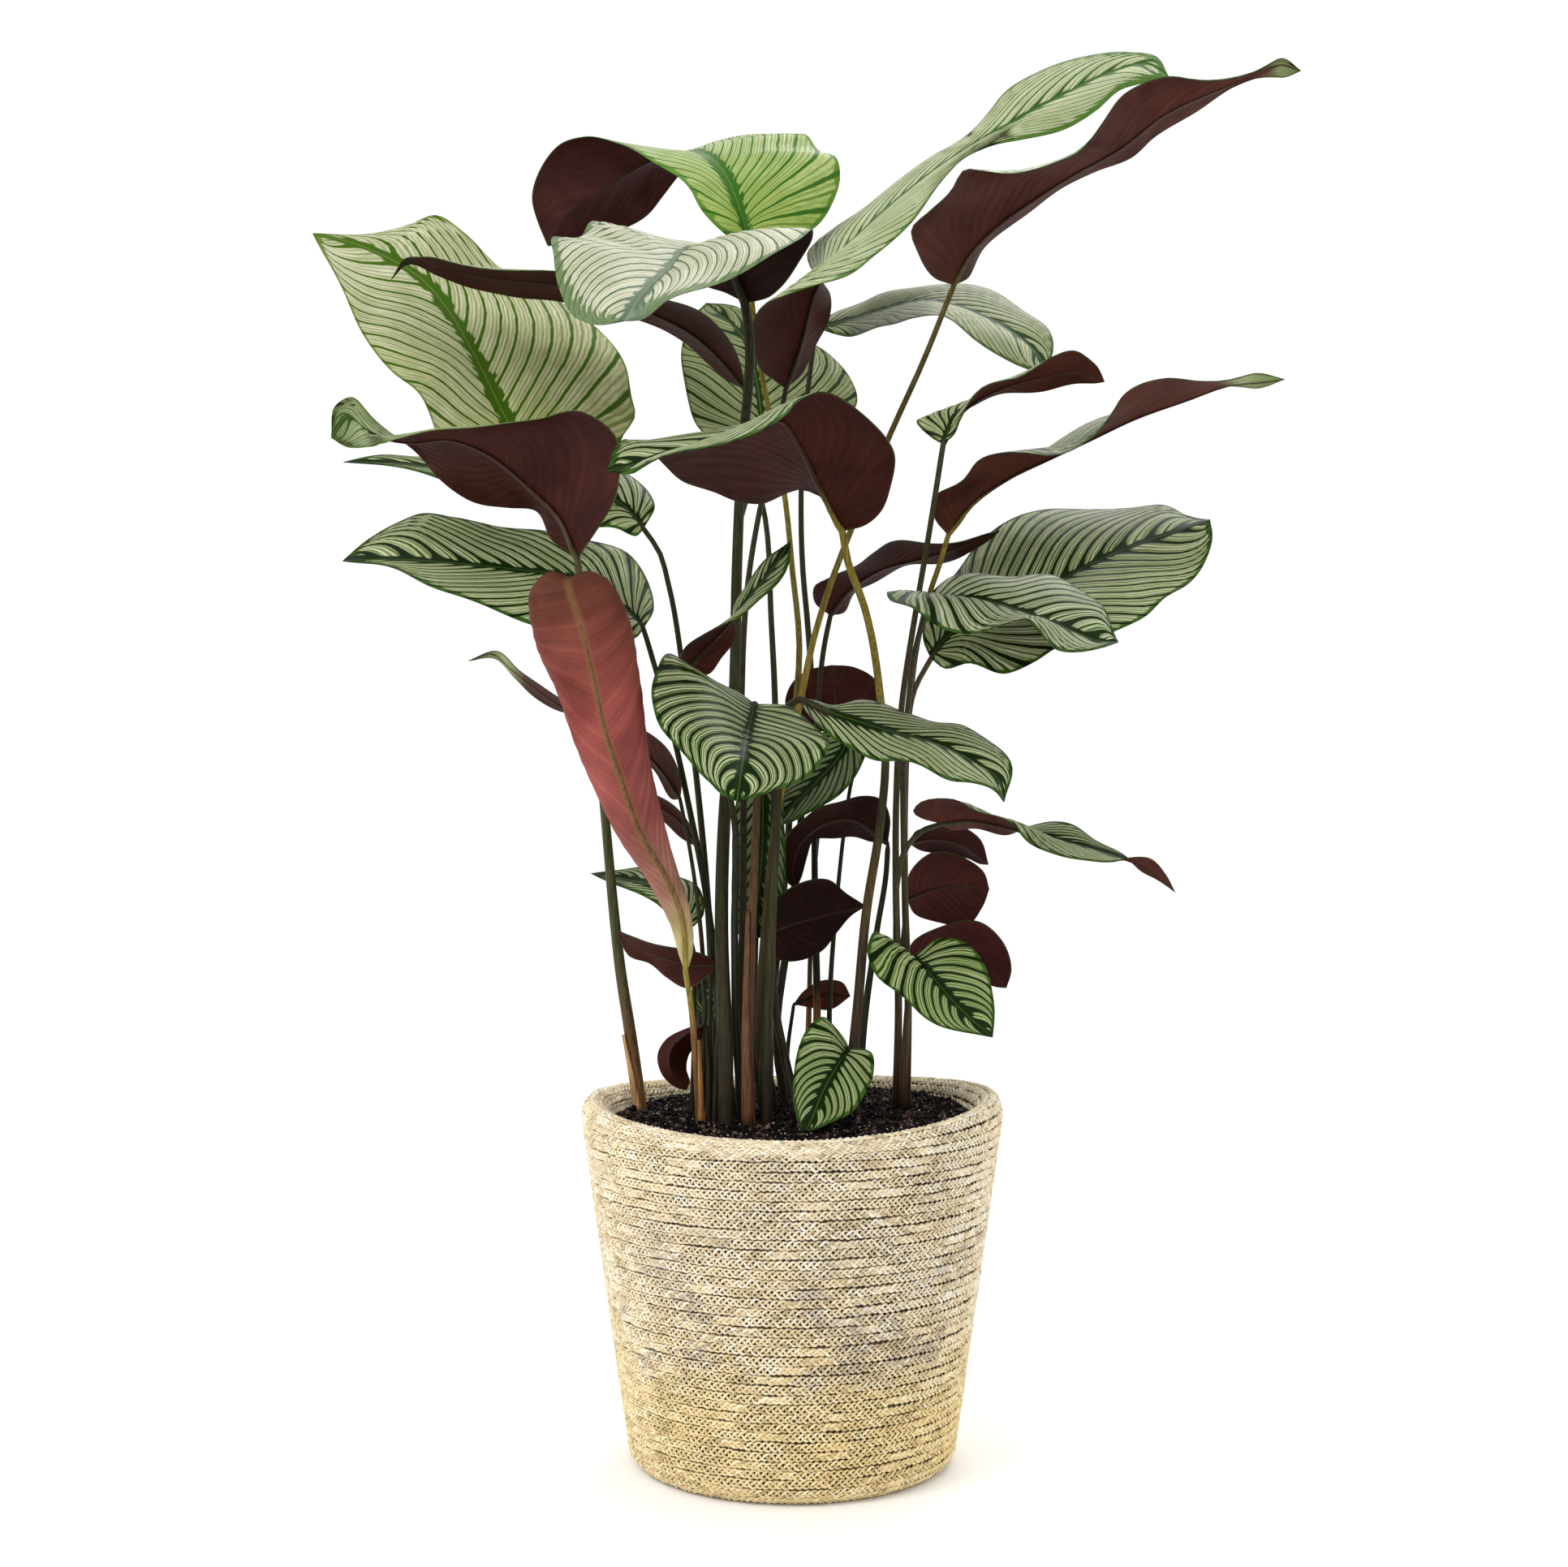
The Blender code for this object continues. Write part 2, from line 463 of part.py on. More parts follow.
leaf("long_top", (-25, -9),
     [(-32, 252, -5), (-30.5, 322, 2), (-30, 397, 12), (-31, 472, 24), (-27, 539.5, 32),
      (-20, 582, 38), (-10.5, 622, 46)],
     [(-4, 657, 48), (3, 677, 42), (8, 694.5, 36), (12, 712, 32), (19.5, 729.5, 32), (37, 748, 36),
      (59.5, 769, 40), (87, 791, 46), (107, 804.5, 52), (137, 822, 56), (167, 838, 60), (197, 852, 62),
      (219.5, 857, 62), (232, 849.5, 60)],
     [(4.5, 666, 54), (13.5, 682, 62), (24.5, 702, 68), (24, 716, 74), (13.5, 728, 78), (9, 741, 78),
      (21, 753.5, 76), (37, 763.5, 74), (62, 782, 72), (87, 799.5, 70), (106, 811, 64),
      (119.5, 827, 70), (132, 842, 74), (157, 854.5, 76), (182, 861, 76), (207, 864, 72),
      (224.5, 862, 66)],
     [(-10.5, 662, 42), (-19.5, 669, 32), (-25.5, 686, 20), (-24.5, 701, 12), (-17, 710, 8),
      (-5.5, 714.5, 6), (14.5, 720, 4), (34.5, 725.5, 4), (52, 739.5, 10), (72, 759.5, 18),
      (87, 779.5, 28), (96, 789, 38), (107, 798.5, 48), (119.5, 805.5, 54), (142, 811, 48),
      (167, 818, 44), (187, 829.5, 46), (202, 841, 50), (218, 845, 54)])
leaf("long_dark_top", (-15, -11),
     [(-20, 252, -10), (-17, 322, -7), (-9, 397, -2), (5.5, 467, 6), (13, 502, 8), (22, 532, 8),
      (36, 569.5, 6), (59.5, 627, 0), (82, 677, -6)],
     [(99.5, 721, -10), (108, 738, -10), (126, 757, -10), (148, 773, -10), (173, 789, -10),
      (202, 805, -10), (229.5, 826, -8), (262, 841, -6), (287, 851, -4), (302, 857, -3),
      (313.5, 853, -2)],
     [(108, 726, 0), (120.5, 744.5, 14), (142, 764.5, 24), (162, 778.5, 28), (187, 789.5, 28),
      (209.5, 800, 24), (222, 813, 20), (252, 829.5, 14), (282, 846.5, 6), (293, 850, 2), (303, 849, 0)],
     [(87, 726, -20), (77, 741, -32), (73, 757, -40), (84.5, 767, -44), (98, 778, -46),
      (107, 791, -48), (119.5, 790, -46), (132, 789, -44), (162, 798, -40), (179.5, 807, -36),
      (192, 822, -34), (204.5, 837, -30), (217, 844.5, -26), (232, 849.5, -22), (252, 848, -16),
      (272, 849.5, -12), (289.5, 854, -8), (302, 860.5, -6)])
leaf("arching", (-4, 30),
     [(-9.5, 252, 36), (-2, 322, 48), (4, 372, 56), (6.5, 407, 58), (11, 447, 70), (12, 472, 72),
      (10, 507, 64), (6.5, 547, 64), (5.5, 587, 68), (7, 627, 76), (11, 667, 84)],
     [(14.5, 694.5, 86), (37, 700, 80), (57, 706, 72), (77, 711, 64), (97, 709, 54), (122, 699.5, 48),
      (142, 687, 42), (152, 677, 38), (156, 664.5, 34)],
     [(17, 699, 90), (27, 704.5, 94), (42, 708.5, 96), (57, 716, 94), (77, 721, 90), (97, 722, 84),
      (122, 717, 78), (142, 707, 68), (155, 697, 58), (160.5, 683, 46)],
     [(27, 691, 78), (42, 691, 64), (59.5, 696, 48), (74.5, 702, 34), (92, 701, 26), (112, 688, 22),
      (127, 679.5, 24), (143, 669.5, 30)])
leaf("pale_back", (-36, 2),
     [(-41.5, 252, 6), (-44, 322, 14), (-42, 397, 26), (-36.5, 472, 44), (-34, 547, 66),
      (-31.5, 577, 76), (-24, 599.5, 88)],
     [(-18, 617, 95), (-19, 637, 98), (-22, 662, 104), (-29, 687, 108), (-53, 710, 110)],
     [(-38, 619, 92), (-57, 633, 88), (-64.5, 651, 88), (-68, 672, 92), (-66.5, 689.5, 98),
      (-60, 703, 104)],
     [(7, 623, 100), (27, 634.5, 108), (39.5, 647, 112), (35.5, 665.5, 118), (24.5, 677, 122),
      (7, 687, 122), (-15.5, 697, 120), (-32, 707, 116)])
leaf("folded_middle", (34, 2),
     [(36, 232, 2), (40, 272, 4), (46, 337, 2), (54, 387, 0), (57.5, 427, -4), (54.5, 466, -14),
      (44, 524.5, -30), (34, 552, -34)],
     [(31, 569.5, -34), (17, 597, -52), (4.5, 622, -68), (-7, 637.5, -80), (-35.5, 630.5, -92),
      (-63, 621, -98), (-88, 613, -102), (-114, 606, -106)],
     [(43, 573, -38), (54.5, 581, -46), (61, 597, -56), (63.5, 614.5, -66), (57, 629.5, -78),
      (42, 643.5, -88), (22, 653.5, -98), (7, 650.5, -108), (-8, 639.5, -118), (-23, 631.5, -122),
      (-48, 621.5, -124), (-73, 615.5, -120), (-88, 611, -114), (-98, 605.5, -110)],
     [(24, 577, -30), (17, 592.5, -24), (4.5, 596.5, -20), (-8, 591, -15), (-18, 586, -12),
      (-35.5, 587, -12), (-48, 593, -16), (-68, 602, -28), (-79.5, 611, -42), (-88, 619, -58),
      (-95.5, 624.5, -75), (-104, 626.5, -90), (-110.5, 617, -100)], neck=0.0022, base=0.0036)
leaf("pointed", (-30, -20),
     [(-34, 252, -16), (-35.5, 322, -14), (-36.5, 397, -15), (-45, 432, -12), (-56.5, 462, -9)],
     [(-63, 486, -8), (-53, 497, -16), (-43, 508, -24), (-28, 526, -30), (-13, 544.5, -32),
      (-1, 563.5, -30)],
     [(-52, 481, -6), (-43, 491, -8), (-35.5, 507, -14), (-35, 523, -20), (-28, 538, -24),
      (-15.5, 552, -26)],
     [(-69, 491, -14), (-66.5, 498, -22), (-55.5, 504, -30), (-43, 512.5, -36), (-29.5, 518.5, -40),
      (-19.5, 526, -42), (-9, 538, -40), (-1.5, 552, -35)])
leaf("facing", (-26, -31),
     [(-27, 252, -26), (-25, 322, -20), (-22, 397, -12), (-21, 437, -6)],
     [(-23, 463, -14), (-27, 447, -40), (-30.5, 427, -78), (-34, 403, -106)],
     [(-10.5, 463, -20), (4.5, 456.5, -33), (18, 446.5, -50), (23, 438, -62), (14, 423, -78),
      (-7, 410, -95), (-23, 405.5, -102)],
     [(-38, 473, -16), (-57, 484, -20), (-76, 493, -26), (-84, 482, -42), (-86, 466, -58),
      (-82, 448, -72), (-65.5, 432, -84), (-52, 416, -96), (-43, 406.5, -102)], neck=0.0022, base=0.004)
leaf("facing_right", (-16, -23),
     [(-16, 252, -20), (-13, 322, -16), (-9, 397, -12), (-7, 437, -12), (-3, 461, -18)],
     [(4.5, 466, -26), (32, 455, -42), (62, 445.5, -56), (92, 437, -64), (112, 427, -68),
      (127, 416, -70), (130.5, 402.5, -72)],
     [(13, 466, -24), (27, 461, -24), (42, 464.5, -24), (57, 464, -28), (72, 457.5, -34),
      (87, 450.5, -40), (106, 450, -44), (124.5, 438.5, -52), (135, 423, -62)],
     [(10, 457, -24), (22, 444.5, -40), (42, 432, -62), (77, 424.5, -90), (94.5, 417, -92),
      (112, 415.5, -86), (124.5, 409, -78)], neck=0.0022, base=0.0042)
leaf("dark_behind", (10, 76),
     [(10, 252, 78), (13, 347, 76), (18, 397, 72), (24, 427, 66)],
     [(27, 444.5, 60), (27, 462, 54), (26, 474.5, 52), (24.5, 487, 56)],
     [(43, 448, 56), (55.5, 464, 48), (52, 477, 46), (39.5, 485.5, 50)],
     [(12, 448, 60), (-4.5, 463, 58), (-1, 474.5, 56), (12, 484.5, 56)], small=True)
leaf("grazing_striped", (26, 58),
     [(23, 252, 56), (28, 347, 54), (35, 407, 52), (40, 437, 50)],
     [(38, 450.5, 44), (30, 432, 40), (15, 414.5, 38), (-0.5, 399.5, 40), (-12.5, 388, 44)],
     [(46, 439.5, 38), (42, 423, 30), (29.5, 408, 27), (12, 396.5, 31), (-2, 389.5, 38)],
     [(21, 447, 40), (7, 429.5, 44), (-4, 414.5, 45), (-12, 399.5, 46)], small=True)
leaf("hanging_striped", (-20, 26),
     [(-23, 252, 32), (-22, 322, 40), (-20.5, 382, 46), (-19, 412, 46)],
     [(-19, 424.5, 38), (-18, 397, 26), (-19, 367, 22), (-21.5, 342, 20), (-26, 317, 20)],
     [(-9, 414.5, 36), (-5, 387, 30), (-4, 357, 28), (-6.5, 336, 24), (-14, 322, 22)],
     [(-30.5, 413, 34), (-36.5, 387, 24), (-37, 362, 20), (-37, 341, 18), (-34, 322, 19)], small=True)
leaf("dark_reaching_left", (14, 48),
     [(15, 252, 52), (14, 347, 56), (14, 417, 58), (16, 462, 46), (19.5, 497, 34)],
     [(23.5, 517.5, 28), (32, 529.5, 28), (52, 544.5, 28), (82, 553, 28), (107, 561, 30),
      (128, 569.5, 32)],
     [(32, 519.5, 34), (41, 533, 42), (67, 546, 46), (92, 551, 46), (109.5, 555.5, 42)],
     [(13.5, 526, 22), (13, 536, 16), (24.5, 541, 12), (40, 547, 10), (49.5, 556.5, 10), (58, 563, 10),
      (87, 560.5, 14), (112, 566, 22)])
leaf("wide_dark", (42, 20),
     [(43, 252, 22), (52, 322, 28), (58, 359.5, 30)],
     [(59, 377, 32), (37, 392, 34), (17, 388, 38), (4.5, 376, 40), (0.5, 362, 38), (2.5, 349, 36)],
     [(60, 393, 26), (54, 404, 22), (42, 407, 20), (27, 402, 24), (8, 393, 32), (-3, 382, 38),
      (-5.5, 367, 38), (-3, 353, 37)],
     [(51, 378.5, 40), (32, 380.5, 46), (13.5, 379, 46), (9.5, 369.5, 42), (6, 357, 36)])
leaf("short_dark_right", (65.5, 36.1),
     [(65.5, 272, 37), (64, 322, 39), (65.5, 357, 41)],
     [(72, 377, 42), (87, 379.5, 42), (104.5, 376, 42), (121, 364, 42)],
     [(79.5, 372.5, 48), (94.5, 370, 52), (107, 368, 50), (115.5, 364.5, 46)],
     [(76, 384.5, 38), (87, 387.5, 34), (102, 388, 32), (115, 381, 35)], small=True)
leaf("long_red_brown", (65.5, 23.5),
     [(65.5, 272, 20), (64, 327, 12), (65, 354.5, 5), (70.5, 374.5, -2), (79.5, 384.5, -2)],
     [(92, 389, 0), (109.5, 391, 0), (127, 388, 0), (152, 382, -2), (172, 377, -4), (194.5, 370.5, -6),
      (217, 362, -8), (236, 347, -10)],
     [(98, 386, 6), (112, 385.5, 10), (132, 382.5, 10), (145, 388, 8), (157, 390, 8), (172, 388, 6),
      (187, 379.5, 2), (204.5, 370, -3), (214.5, 360, -6), (227, 353.5, -8)],
     [(81, 392, -6), (74.5, 398, -12), (78, 403, -16), (99.5, 403.5, -18), (112, 396, -17),
      (134.5, 391, -15), (147, 378, -16), (157, 372, -18), (168, 367.5, -18), (184.5, 365.5, -15),
      (197, 366, -12), (209.5, 369, -11), (220.5, 368, -11), (230, 358, -11)], base=0.0026)
leaf("round_dark_upper", (71.8, 42.4),
     [(71.5, 272, 44), (68, 317, 50)],
     [(71, 342, 50), (87, 348.5, 50), (104.5, 351, 50), (121.5, 349, 50)],
     [(75, 334, 56), (92, 328, 62), (109.5, 327.5, 62), (117.5, 338, 56)],
     [(72.5, 359.5, 46), (87, 371.5, 43), (107, 368, 42), (118, 359.5, 45)], small=True)
leaf("round_dark_lower", (65.5, 42.4),
     [(65.5, 257, 48), (66, 282, 56)],
     [(71, 302, 58), (92, 311, 56), (114.5, 309.5, 54), (132, 288, 52)],
     [(82, 294.5, 64), (99.5, 291, 68), (114.5, 291, 64), (126, 288.5, 58)],
     [(73, 314.5, 54), (92, 326, 48), (117, 328, 44), (130.5, 316, 44), (135, 299, 47)], small=True)
leaf("twisted_right", (65.5, 29.8),
     [(65.5, 272, 29), (64, 347, 24), (64, 397, 18), (67, 457, 10), (76.5, 522, 0), (82.5, 557, -12),
      (89, 597, -22)],
     [(93, 623, -24), (99, 637, -24), (112, 649, -24), (132, 658.5, -24), (157, 665, -24),
      (177, 668.5, -24), (192.5, 661.5, -24)],
     [(85.5, 627.5, -16), (77.5, 636.5, -10), (92, 641.5, -6), (112, 646.5, -4), (132, 654, -4),
      (162, 657.5, -9), (182, 660, -16)],
     [(99, 628, -28), (103, 639.5, -34), (119.5, 657.5, -42), (142, 667, -44), (162, 676, -42),
      (174.5, 681, -38), (187, 672, -30)], base=0.0026)
leaf("long_dark_right", (71.8, 36.1),
     [(71.5, 272, 37), (69.5, 347, 33), (69.5, 397, 31), (72.5, 462, 30), (77.5, 502, 29),
      (85, 532, 26), (91.5, 551, 16)],
     [(96, 567, 10), (109.5, 585, 6), (132, 601.5, 4), (157, 613.5, 2), (182, 625, 2), (212, 639, 2),
      (242, 649.5, 2), (272, 659.5, 2), (289.5, 661, 2), (303.5, 663, 2)],
     [(103, 574.5, 18), (118, 591, 28), (137, 605, 34), (157, 620.5, 36), (177, 632, 34),
      (193, 639, 30), (212, 645, 24), (242, 654, 16), (272, 658.5, 8), (287, 657.5, 5)],
     [(88, 577, 0), (88, 593, -14), (106, 601.5, -22), (114.5, 611.5, -26), (143, 617, -28),
      (159.5, 616.5, -28), (179.5, 625, -26), (195, 638.5, -24), (204.5, 652, -22), (229.5, 663, -18),
      (252, 663, -12), (272, 663.5, -6), (287, 666.5, -2)], base=0.0026)
leaf("big_right", (71.8, 29.8),
     [(71.5, 272, 30), (69.5, 347, 25), (69.5, 397, 21), (71, 447, 15), (75.5, 472, 10)],
     [(85.5, 491, 6), (93.5, 502, 8), (107, 512, 12), (127, 522, 16), (147, 530.5, 20), (167, 540, 22),
      (187, 550.5, 24), (212, 561, 24), (237, 569.5, 24), (257.5, 576.5, 24)],
     [(81, 501, 12), (83, 517, 26), (90, 529.5, 36), (102, 546, 46), (113, 561, 52), (129.5, 573, 56),
      (157, 582.5, 60), (182, 584, 60), (212, 584, 56), (227, 584.5, 50), (245, 578, 36)],
     [(94.5, 484.5, 0), (108, 489, -4), (132, 482, -10), (149.5, 488, -12), (164.5, 497.5, -12),
      (184.5, 504, -12), (203, 510.5, -10), (218, 516.5, -6), (230.5, 528, 0), (244.5, 538, 6),
      (253.5, 549.5, 12), (259, 564.5, 18)], base=0.0026)
leaf("curled_right", (71.8, 23.5),
     [(71.5, 272, 22), (69.5, 347, 16), (68.5, 397, 10), (68.5, 432, 2), (71.5, 462, -6), (76, 497, -16)],
     [(83.5, 523, -28), (97, 527, -34), (112, 528, -38), (127, 524.5, -42), (142, 519.5, -44),
      (157, 514, -46), (172, 508, -46), (187, 502, -46), (201, 501, -46)],
     [(82, 528, -24), (88.5, 533.5, -18), (102, 541.5, -12), (117, 544.5, -8), (137, 541.5, -8),
      (162, 541, -10), (177, 535, -16), (189.5, 524.5, -26), (197, 509.5, -38)],
     [(72, 528, -34), (58.5, 533.5, -40), (60, 528, -46), (74.5, 520.5, -56), (85.5, 513, -62),
      (102, 508, -66), (114.5, 508, -68), (127, 510.5, -70), (143, 513.5, -70), (154.5, 504, -68),
      (162, 498, -64), (177, 496, -58), (192, 497.5, -52)], base=0.0026)
leaf("striped_low_right", (69, 16.5),
     [(69.5, 252, 11), (72, 289.5, 6)],
     [(73, 307, 0), (84.5, 297, -12), (97, 282, -24), (112, 267, -32), (123.5, 257.5, -36)],
     [(82, 313, -2), (92, 318, -2), (103, 318, -4), (119.5, 299.5, -14), (124.5, 277, -26),
      (124.5, 266, -32)],
     [(66, 309, -2), (59.5, 313, 0), (52, 324, 2), (46, 312, -4), (49.5, 299.5, -14), (64.5, 286, -28),
      (82, 269, -38), (102, 262, -40), (114.5, 259, -39)])
leaf("on_soil", (40, -8),
     [(37, 227, -7)],
     [(35, 251, -6), (26, 237, -25), (18, 222, -42), (12, 207, -54), (8, 199, -60)],
     [(42, 251, -10), (49, 247, -16), (50, 236, -30), (40.5, 216, -50), (24.5, 204.5, -60)],
     [(32, 257, -5), (19.5, 270.5, -3), (12, 266, -8), (3, 247, -24), (0.5, 227, -40), (2, 212, -52),
      (4.5, 203, -58)])
leaf("dark_centre", (-10, 12),
     [(-15.5, 252, 12), (-18, 297, 14)],
     [(-17, 321, 17), (-0.5, 327, 22), (22, 333, 24), (45.5, 338.5, 24)],
     [(-14, 309, 24), (-3, 304, 34), (18, 311, 36), (29, 323.5, 33), (37, 333, 28)],
     [(-12, 341, 12), (4.5, 352, 10), (22, 355, 12), (34.5, 345.5, 18)], small=True)
leaf("small_dark_back", (-3, 60),
     [(-3, 247, 62)],
     [(1, 278, 62), (17, 284, 64), (36, 283, 64)],
     [(8, 276.5, 66), (24.5, 275, 68)],
     [(7, 286, 60), (22, 293, 60), (31, 291.5, 62)], small=True)

basket()
liner()
soil(feet)
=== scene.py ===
"""The look of a potted calathea: thirty-nine striped leaves on long stalks, in soil, in a seagrass basket.

Metres, +Z up, with the viewer at -Y. The origin is under the middle of the basket's flat bottom.
"""
import math

import bpy
import numpy as np
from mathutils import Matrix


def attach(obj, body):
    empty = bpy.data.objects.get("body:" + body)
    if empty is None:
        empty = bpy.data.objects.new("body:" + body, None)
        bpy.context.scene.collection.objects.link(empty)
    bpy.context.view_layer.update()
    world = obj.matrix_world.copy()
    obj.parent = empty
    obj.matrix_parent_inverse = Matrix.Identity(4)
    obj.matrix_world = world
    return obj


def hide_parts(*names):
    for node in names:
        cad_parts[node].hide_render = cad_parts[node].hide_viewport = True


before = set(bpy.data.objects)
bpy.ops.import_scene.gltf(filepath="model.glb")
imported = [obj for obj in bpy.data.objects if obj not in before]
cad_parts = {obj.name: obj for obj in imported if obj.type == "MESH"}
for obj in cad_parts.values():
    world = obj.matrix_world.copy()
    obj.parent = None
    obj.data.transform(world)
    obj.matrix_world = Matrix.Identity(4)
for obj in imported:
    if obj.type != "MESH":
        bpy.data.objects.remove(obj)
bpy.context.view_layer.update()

# The viewer stands 1.35 m in front of the plant with a level camera at half its height. The lens is
# the one that gives the basket's rim and foot their ellipses.
VIEW = np.array([-0.005, -1.350, 0.414])
camera = bpy.data.objects.new("camera", bpy.data.cameras.new("camera"))
camera.data.lens = 50.31
camera.data.sensor_width = 36
camera.location = VIEW
camera.rotation_euler = (math.radians(90), 0, 0)
bpy.context.scene.collection.objects.link(camera)
bpy.context.scene.camera = camera

# The basket is a long flat plait of three seagrass strands, wound up in rows and sewn edge to edge over a
# stiff inner wall. Its last rows roll over the soft rim and down to the soil. Dried seagrass is matt and
# straw-coloured, with yellower lengths low down and grey-mauve ones half-way up.
MM = 0.001
FOOT_RADIUS = 0.0991  # of the cone where it would meet the table
FLARE = 0.143  # growth of the radius with height
FOOT_ROUND = 0.012  # radius of the foot's edge
RIM_HEIGHT = 0.2195
CREST_RADIUS = 0.1235  # where the rim is highest
LIP_DROP = 0.0095  # how far the rim rolls down outside
MOUTH_RADIUS = 0.110
MOUTH_HEIGHT = 0.2045
FLOOR_RADIUS = 0.090
FLOOR = 0.009
RIM_WAVE = 0.0038  # the sides up, the front and back down
RIM_TO_BACK = 0.0018
RIM_TO_RIGHT = 0.0013
ROW = 0.0057  # from one row of plait to the next
PLAIT_TURN = 0.0116  # length in which a strand goes across and back
PLAIT_SAMPLES = 432
SWING = 0.0023  # of a strand to each side of its row
SWING_DRIFT = 0.08  # of the swing
RISE = 0.0007  # of a strand over and under the others
RISE_DRIFT = 0.00012
PROUD = 0.0004  # how far the plait's highest strands stand out of the basket's outline
STRAND = np.array([(-1.0, -0.8), (0, 0.5), (1.0, -0.8)]) * MM  # section, across and out
THICKNESS_DRIFT = 0.06  # of the thickness
ROW_DRIFT = 0.0003  # of a whole row up and down
STRAND_DRIFT = 0.00016  # of each strand within it
CALM_SWING = 0.27  # by how much a calm length swings less
CALM_THICKNESS = 0.45  # by how much it is wider
WALL_BACK = 0.0018  # how far the inner wall lies behind the face of the plait
WALL_SIDES = 96
FED_LENGTH = 0.020  # the plaiter feeds in new blades about as often
FIBRE = 0.0004  # from one fibre to the next


def linear(colour):
    """The linear colour of an sRGB hex value, with full opacity."""
    channels = np.array([int(colour[i:i + 2], 16) / 255 for i in (1, 3, 5)])
    return (*np.where(channels > 0.04045, ((channels + 0.055) / 1.055) ** 2.4, channels / 12.92), 1.0)


def finish(name):
    """A new material under its finish's name, and its empty node tree."""
    mat = bpy.data.materials.new(name)
    mat.use_nodes = True
    mat.node_tree.nodes.clear()
    return mat, mat.node_tree


def node(tree, kind, inputs=(), out=0, stops=(), **settings):
    """Adds a node with its settings and links, and gives its output. Inputs are outputs of other nodes, numbers
    or hex values, in order or under their names, and stops are (place, hex value) pairs of a ramp."""
    new = tree.nodes.new("ShaderNode" + kind)
    for key, value in settings.items():
        setattr(new, key, value)
    for key, value in inputs.items() if isinstance(inputs, dict) else enumerate(inputs):
        if isinstance(value, bpy.types.NodeSocket):
            tree.links.new(value, new.inputs[key])
        else:
            new.inputs[key].default_value = linear(value) if isinstance(value, str) else value
    for _ in stops[2:]:  # a new ramp has two
        new.color_ramp.elements.new(0.5)
    for (place, colour), element in zip(stops, new.color_ramp.elements if stops else ()):
        element.position = place
        element.color = linear(colour)
    return new.outputs[out] if new.outputs else new


def net(rows, around, ring=False):
    """The quads between rows of points that each run round, and from the last row to the first in a ring."""
    i = np.arange(rows if ring else rows - 1)[:, None]
    j = np.arange(around)[None]
    below, above = i * around, (i + 1) % rows * around
    after = (j + 1) % around
    return np.stack([below + j, below + after, above + after, above + j], axis=-1).reshape(-1, 4)


def closed(rows, around, way=1):
    """The faces of a closed tube: its quads and its two ends, turned over with way=-1."""
    ends = np.array([np.arange(around)[::-1], np.arange(around) + (rows - 1) * around])
    return [net(rows, around)[:, ::way], ends[:, ::way]]


def repeated(faces, count, points):
    """The faces of count equal pieces, each of so many points."""
    return (faces[None] + np.arange(count)[:, None, None] * points).reshape(-1, faces.shape[1])


def turned(profile, turn):
    """Rings of points at the angles in turn, from (radius, height) pairs."""
    radius, height = profile[:, :1], profile[:, 1:]
    return np.stack([radius * np.cos(turn), radius * np.sin(turn), height + 0 * turn], axis=-1)


def build(name, points, faces, materials, slots=None, **values):
    """A mesh piece from its points and a list of face arrays, one array for each number of corners, with a
    value or colour for each point under each further name."""
    mesh = bpy.data.meshes.new(name)
    points = np.asarray(points, float).reshape(-1, 3)
    corners = np.concatenate([f.ravel() for f in faces])
    sizes = np.concatenate([np.full(len(f), f.shape[1]) for f in faces])
    mesh.vertices.add(len(points))
    mesh.vertices.foreach_set("co", points.ravel())
    mesh.loops.add(len(corners))
    mesh.loops.foreach_set("vertex_index", corners)
    mesh.polygons.add(len(sizes))
    mesh.polygons.foreach_set("loop_start", np.concatenate([[0], np.cumsum(sizes)[:-1]]))
    for mat in materials:
        mesh.materials.append(mat)
    if slots is not None:
        mesh.polygons.foreach_set("material_index", slots)
    mesh.update(calc_edges=True)
    mesh.shade_smooth()
    for key, value in values.items():
        value = np.asarray(value, float)
        kind, channel = ("FLOAT_COLOR", "color") if value.shape[-1] == 4 else ("FLOAT", "value")
        mesh.attributes.new(key, kind, "POINT").data.foreach_set(channel, value.ravel())
    piece = bpy.data.objects.new(name, mesh)
    bpy.context.scene.collection.objects.link(piece)
    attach(piece, "root")
    return piece


def arc(centre, radii, start, end, count):
    """Points on an ellipse from start to end, in degrees from the direction away from the axis."""
    angles = np.radians(np.linspace(start, end, count))
    return np.stack([centre[0] + radii[0] * np.cos(angles), centre[1] + radii[1] * np.sin(angles)], axis=1)


def inside(height):
    """Radius of the basket's inner wall."""
    return FLOOR_RADIUS + (MOUTH_RADIUS - FLOOR_RADIUS) * (height - FLOOR) / (MOUTH_HEIGHT - FLOOR)


def rim_lift(angle, height):
    """The rim's wave round the basket, which fades out down to the mouth."""
    wave = RIM_WAVE * np.cos(2 * angle) + RIM_TO_BACK * np.sin(angle) + RIM_TO_RIGHT * np.cos(angle)
    return wave * np.clip((height - MOUTH_HEIGHT) / (RIM_HEIGHT - MOUTH_HEIGHT), 0, None)


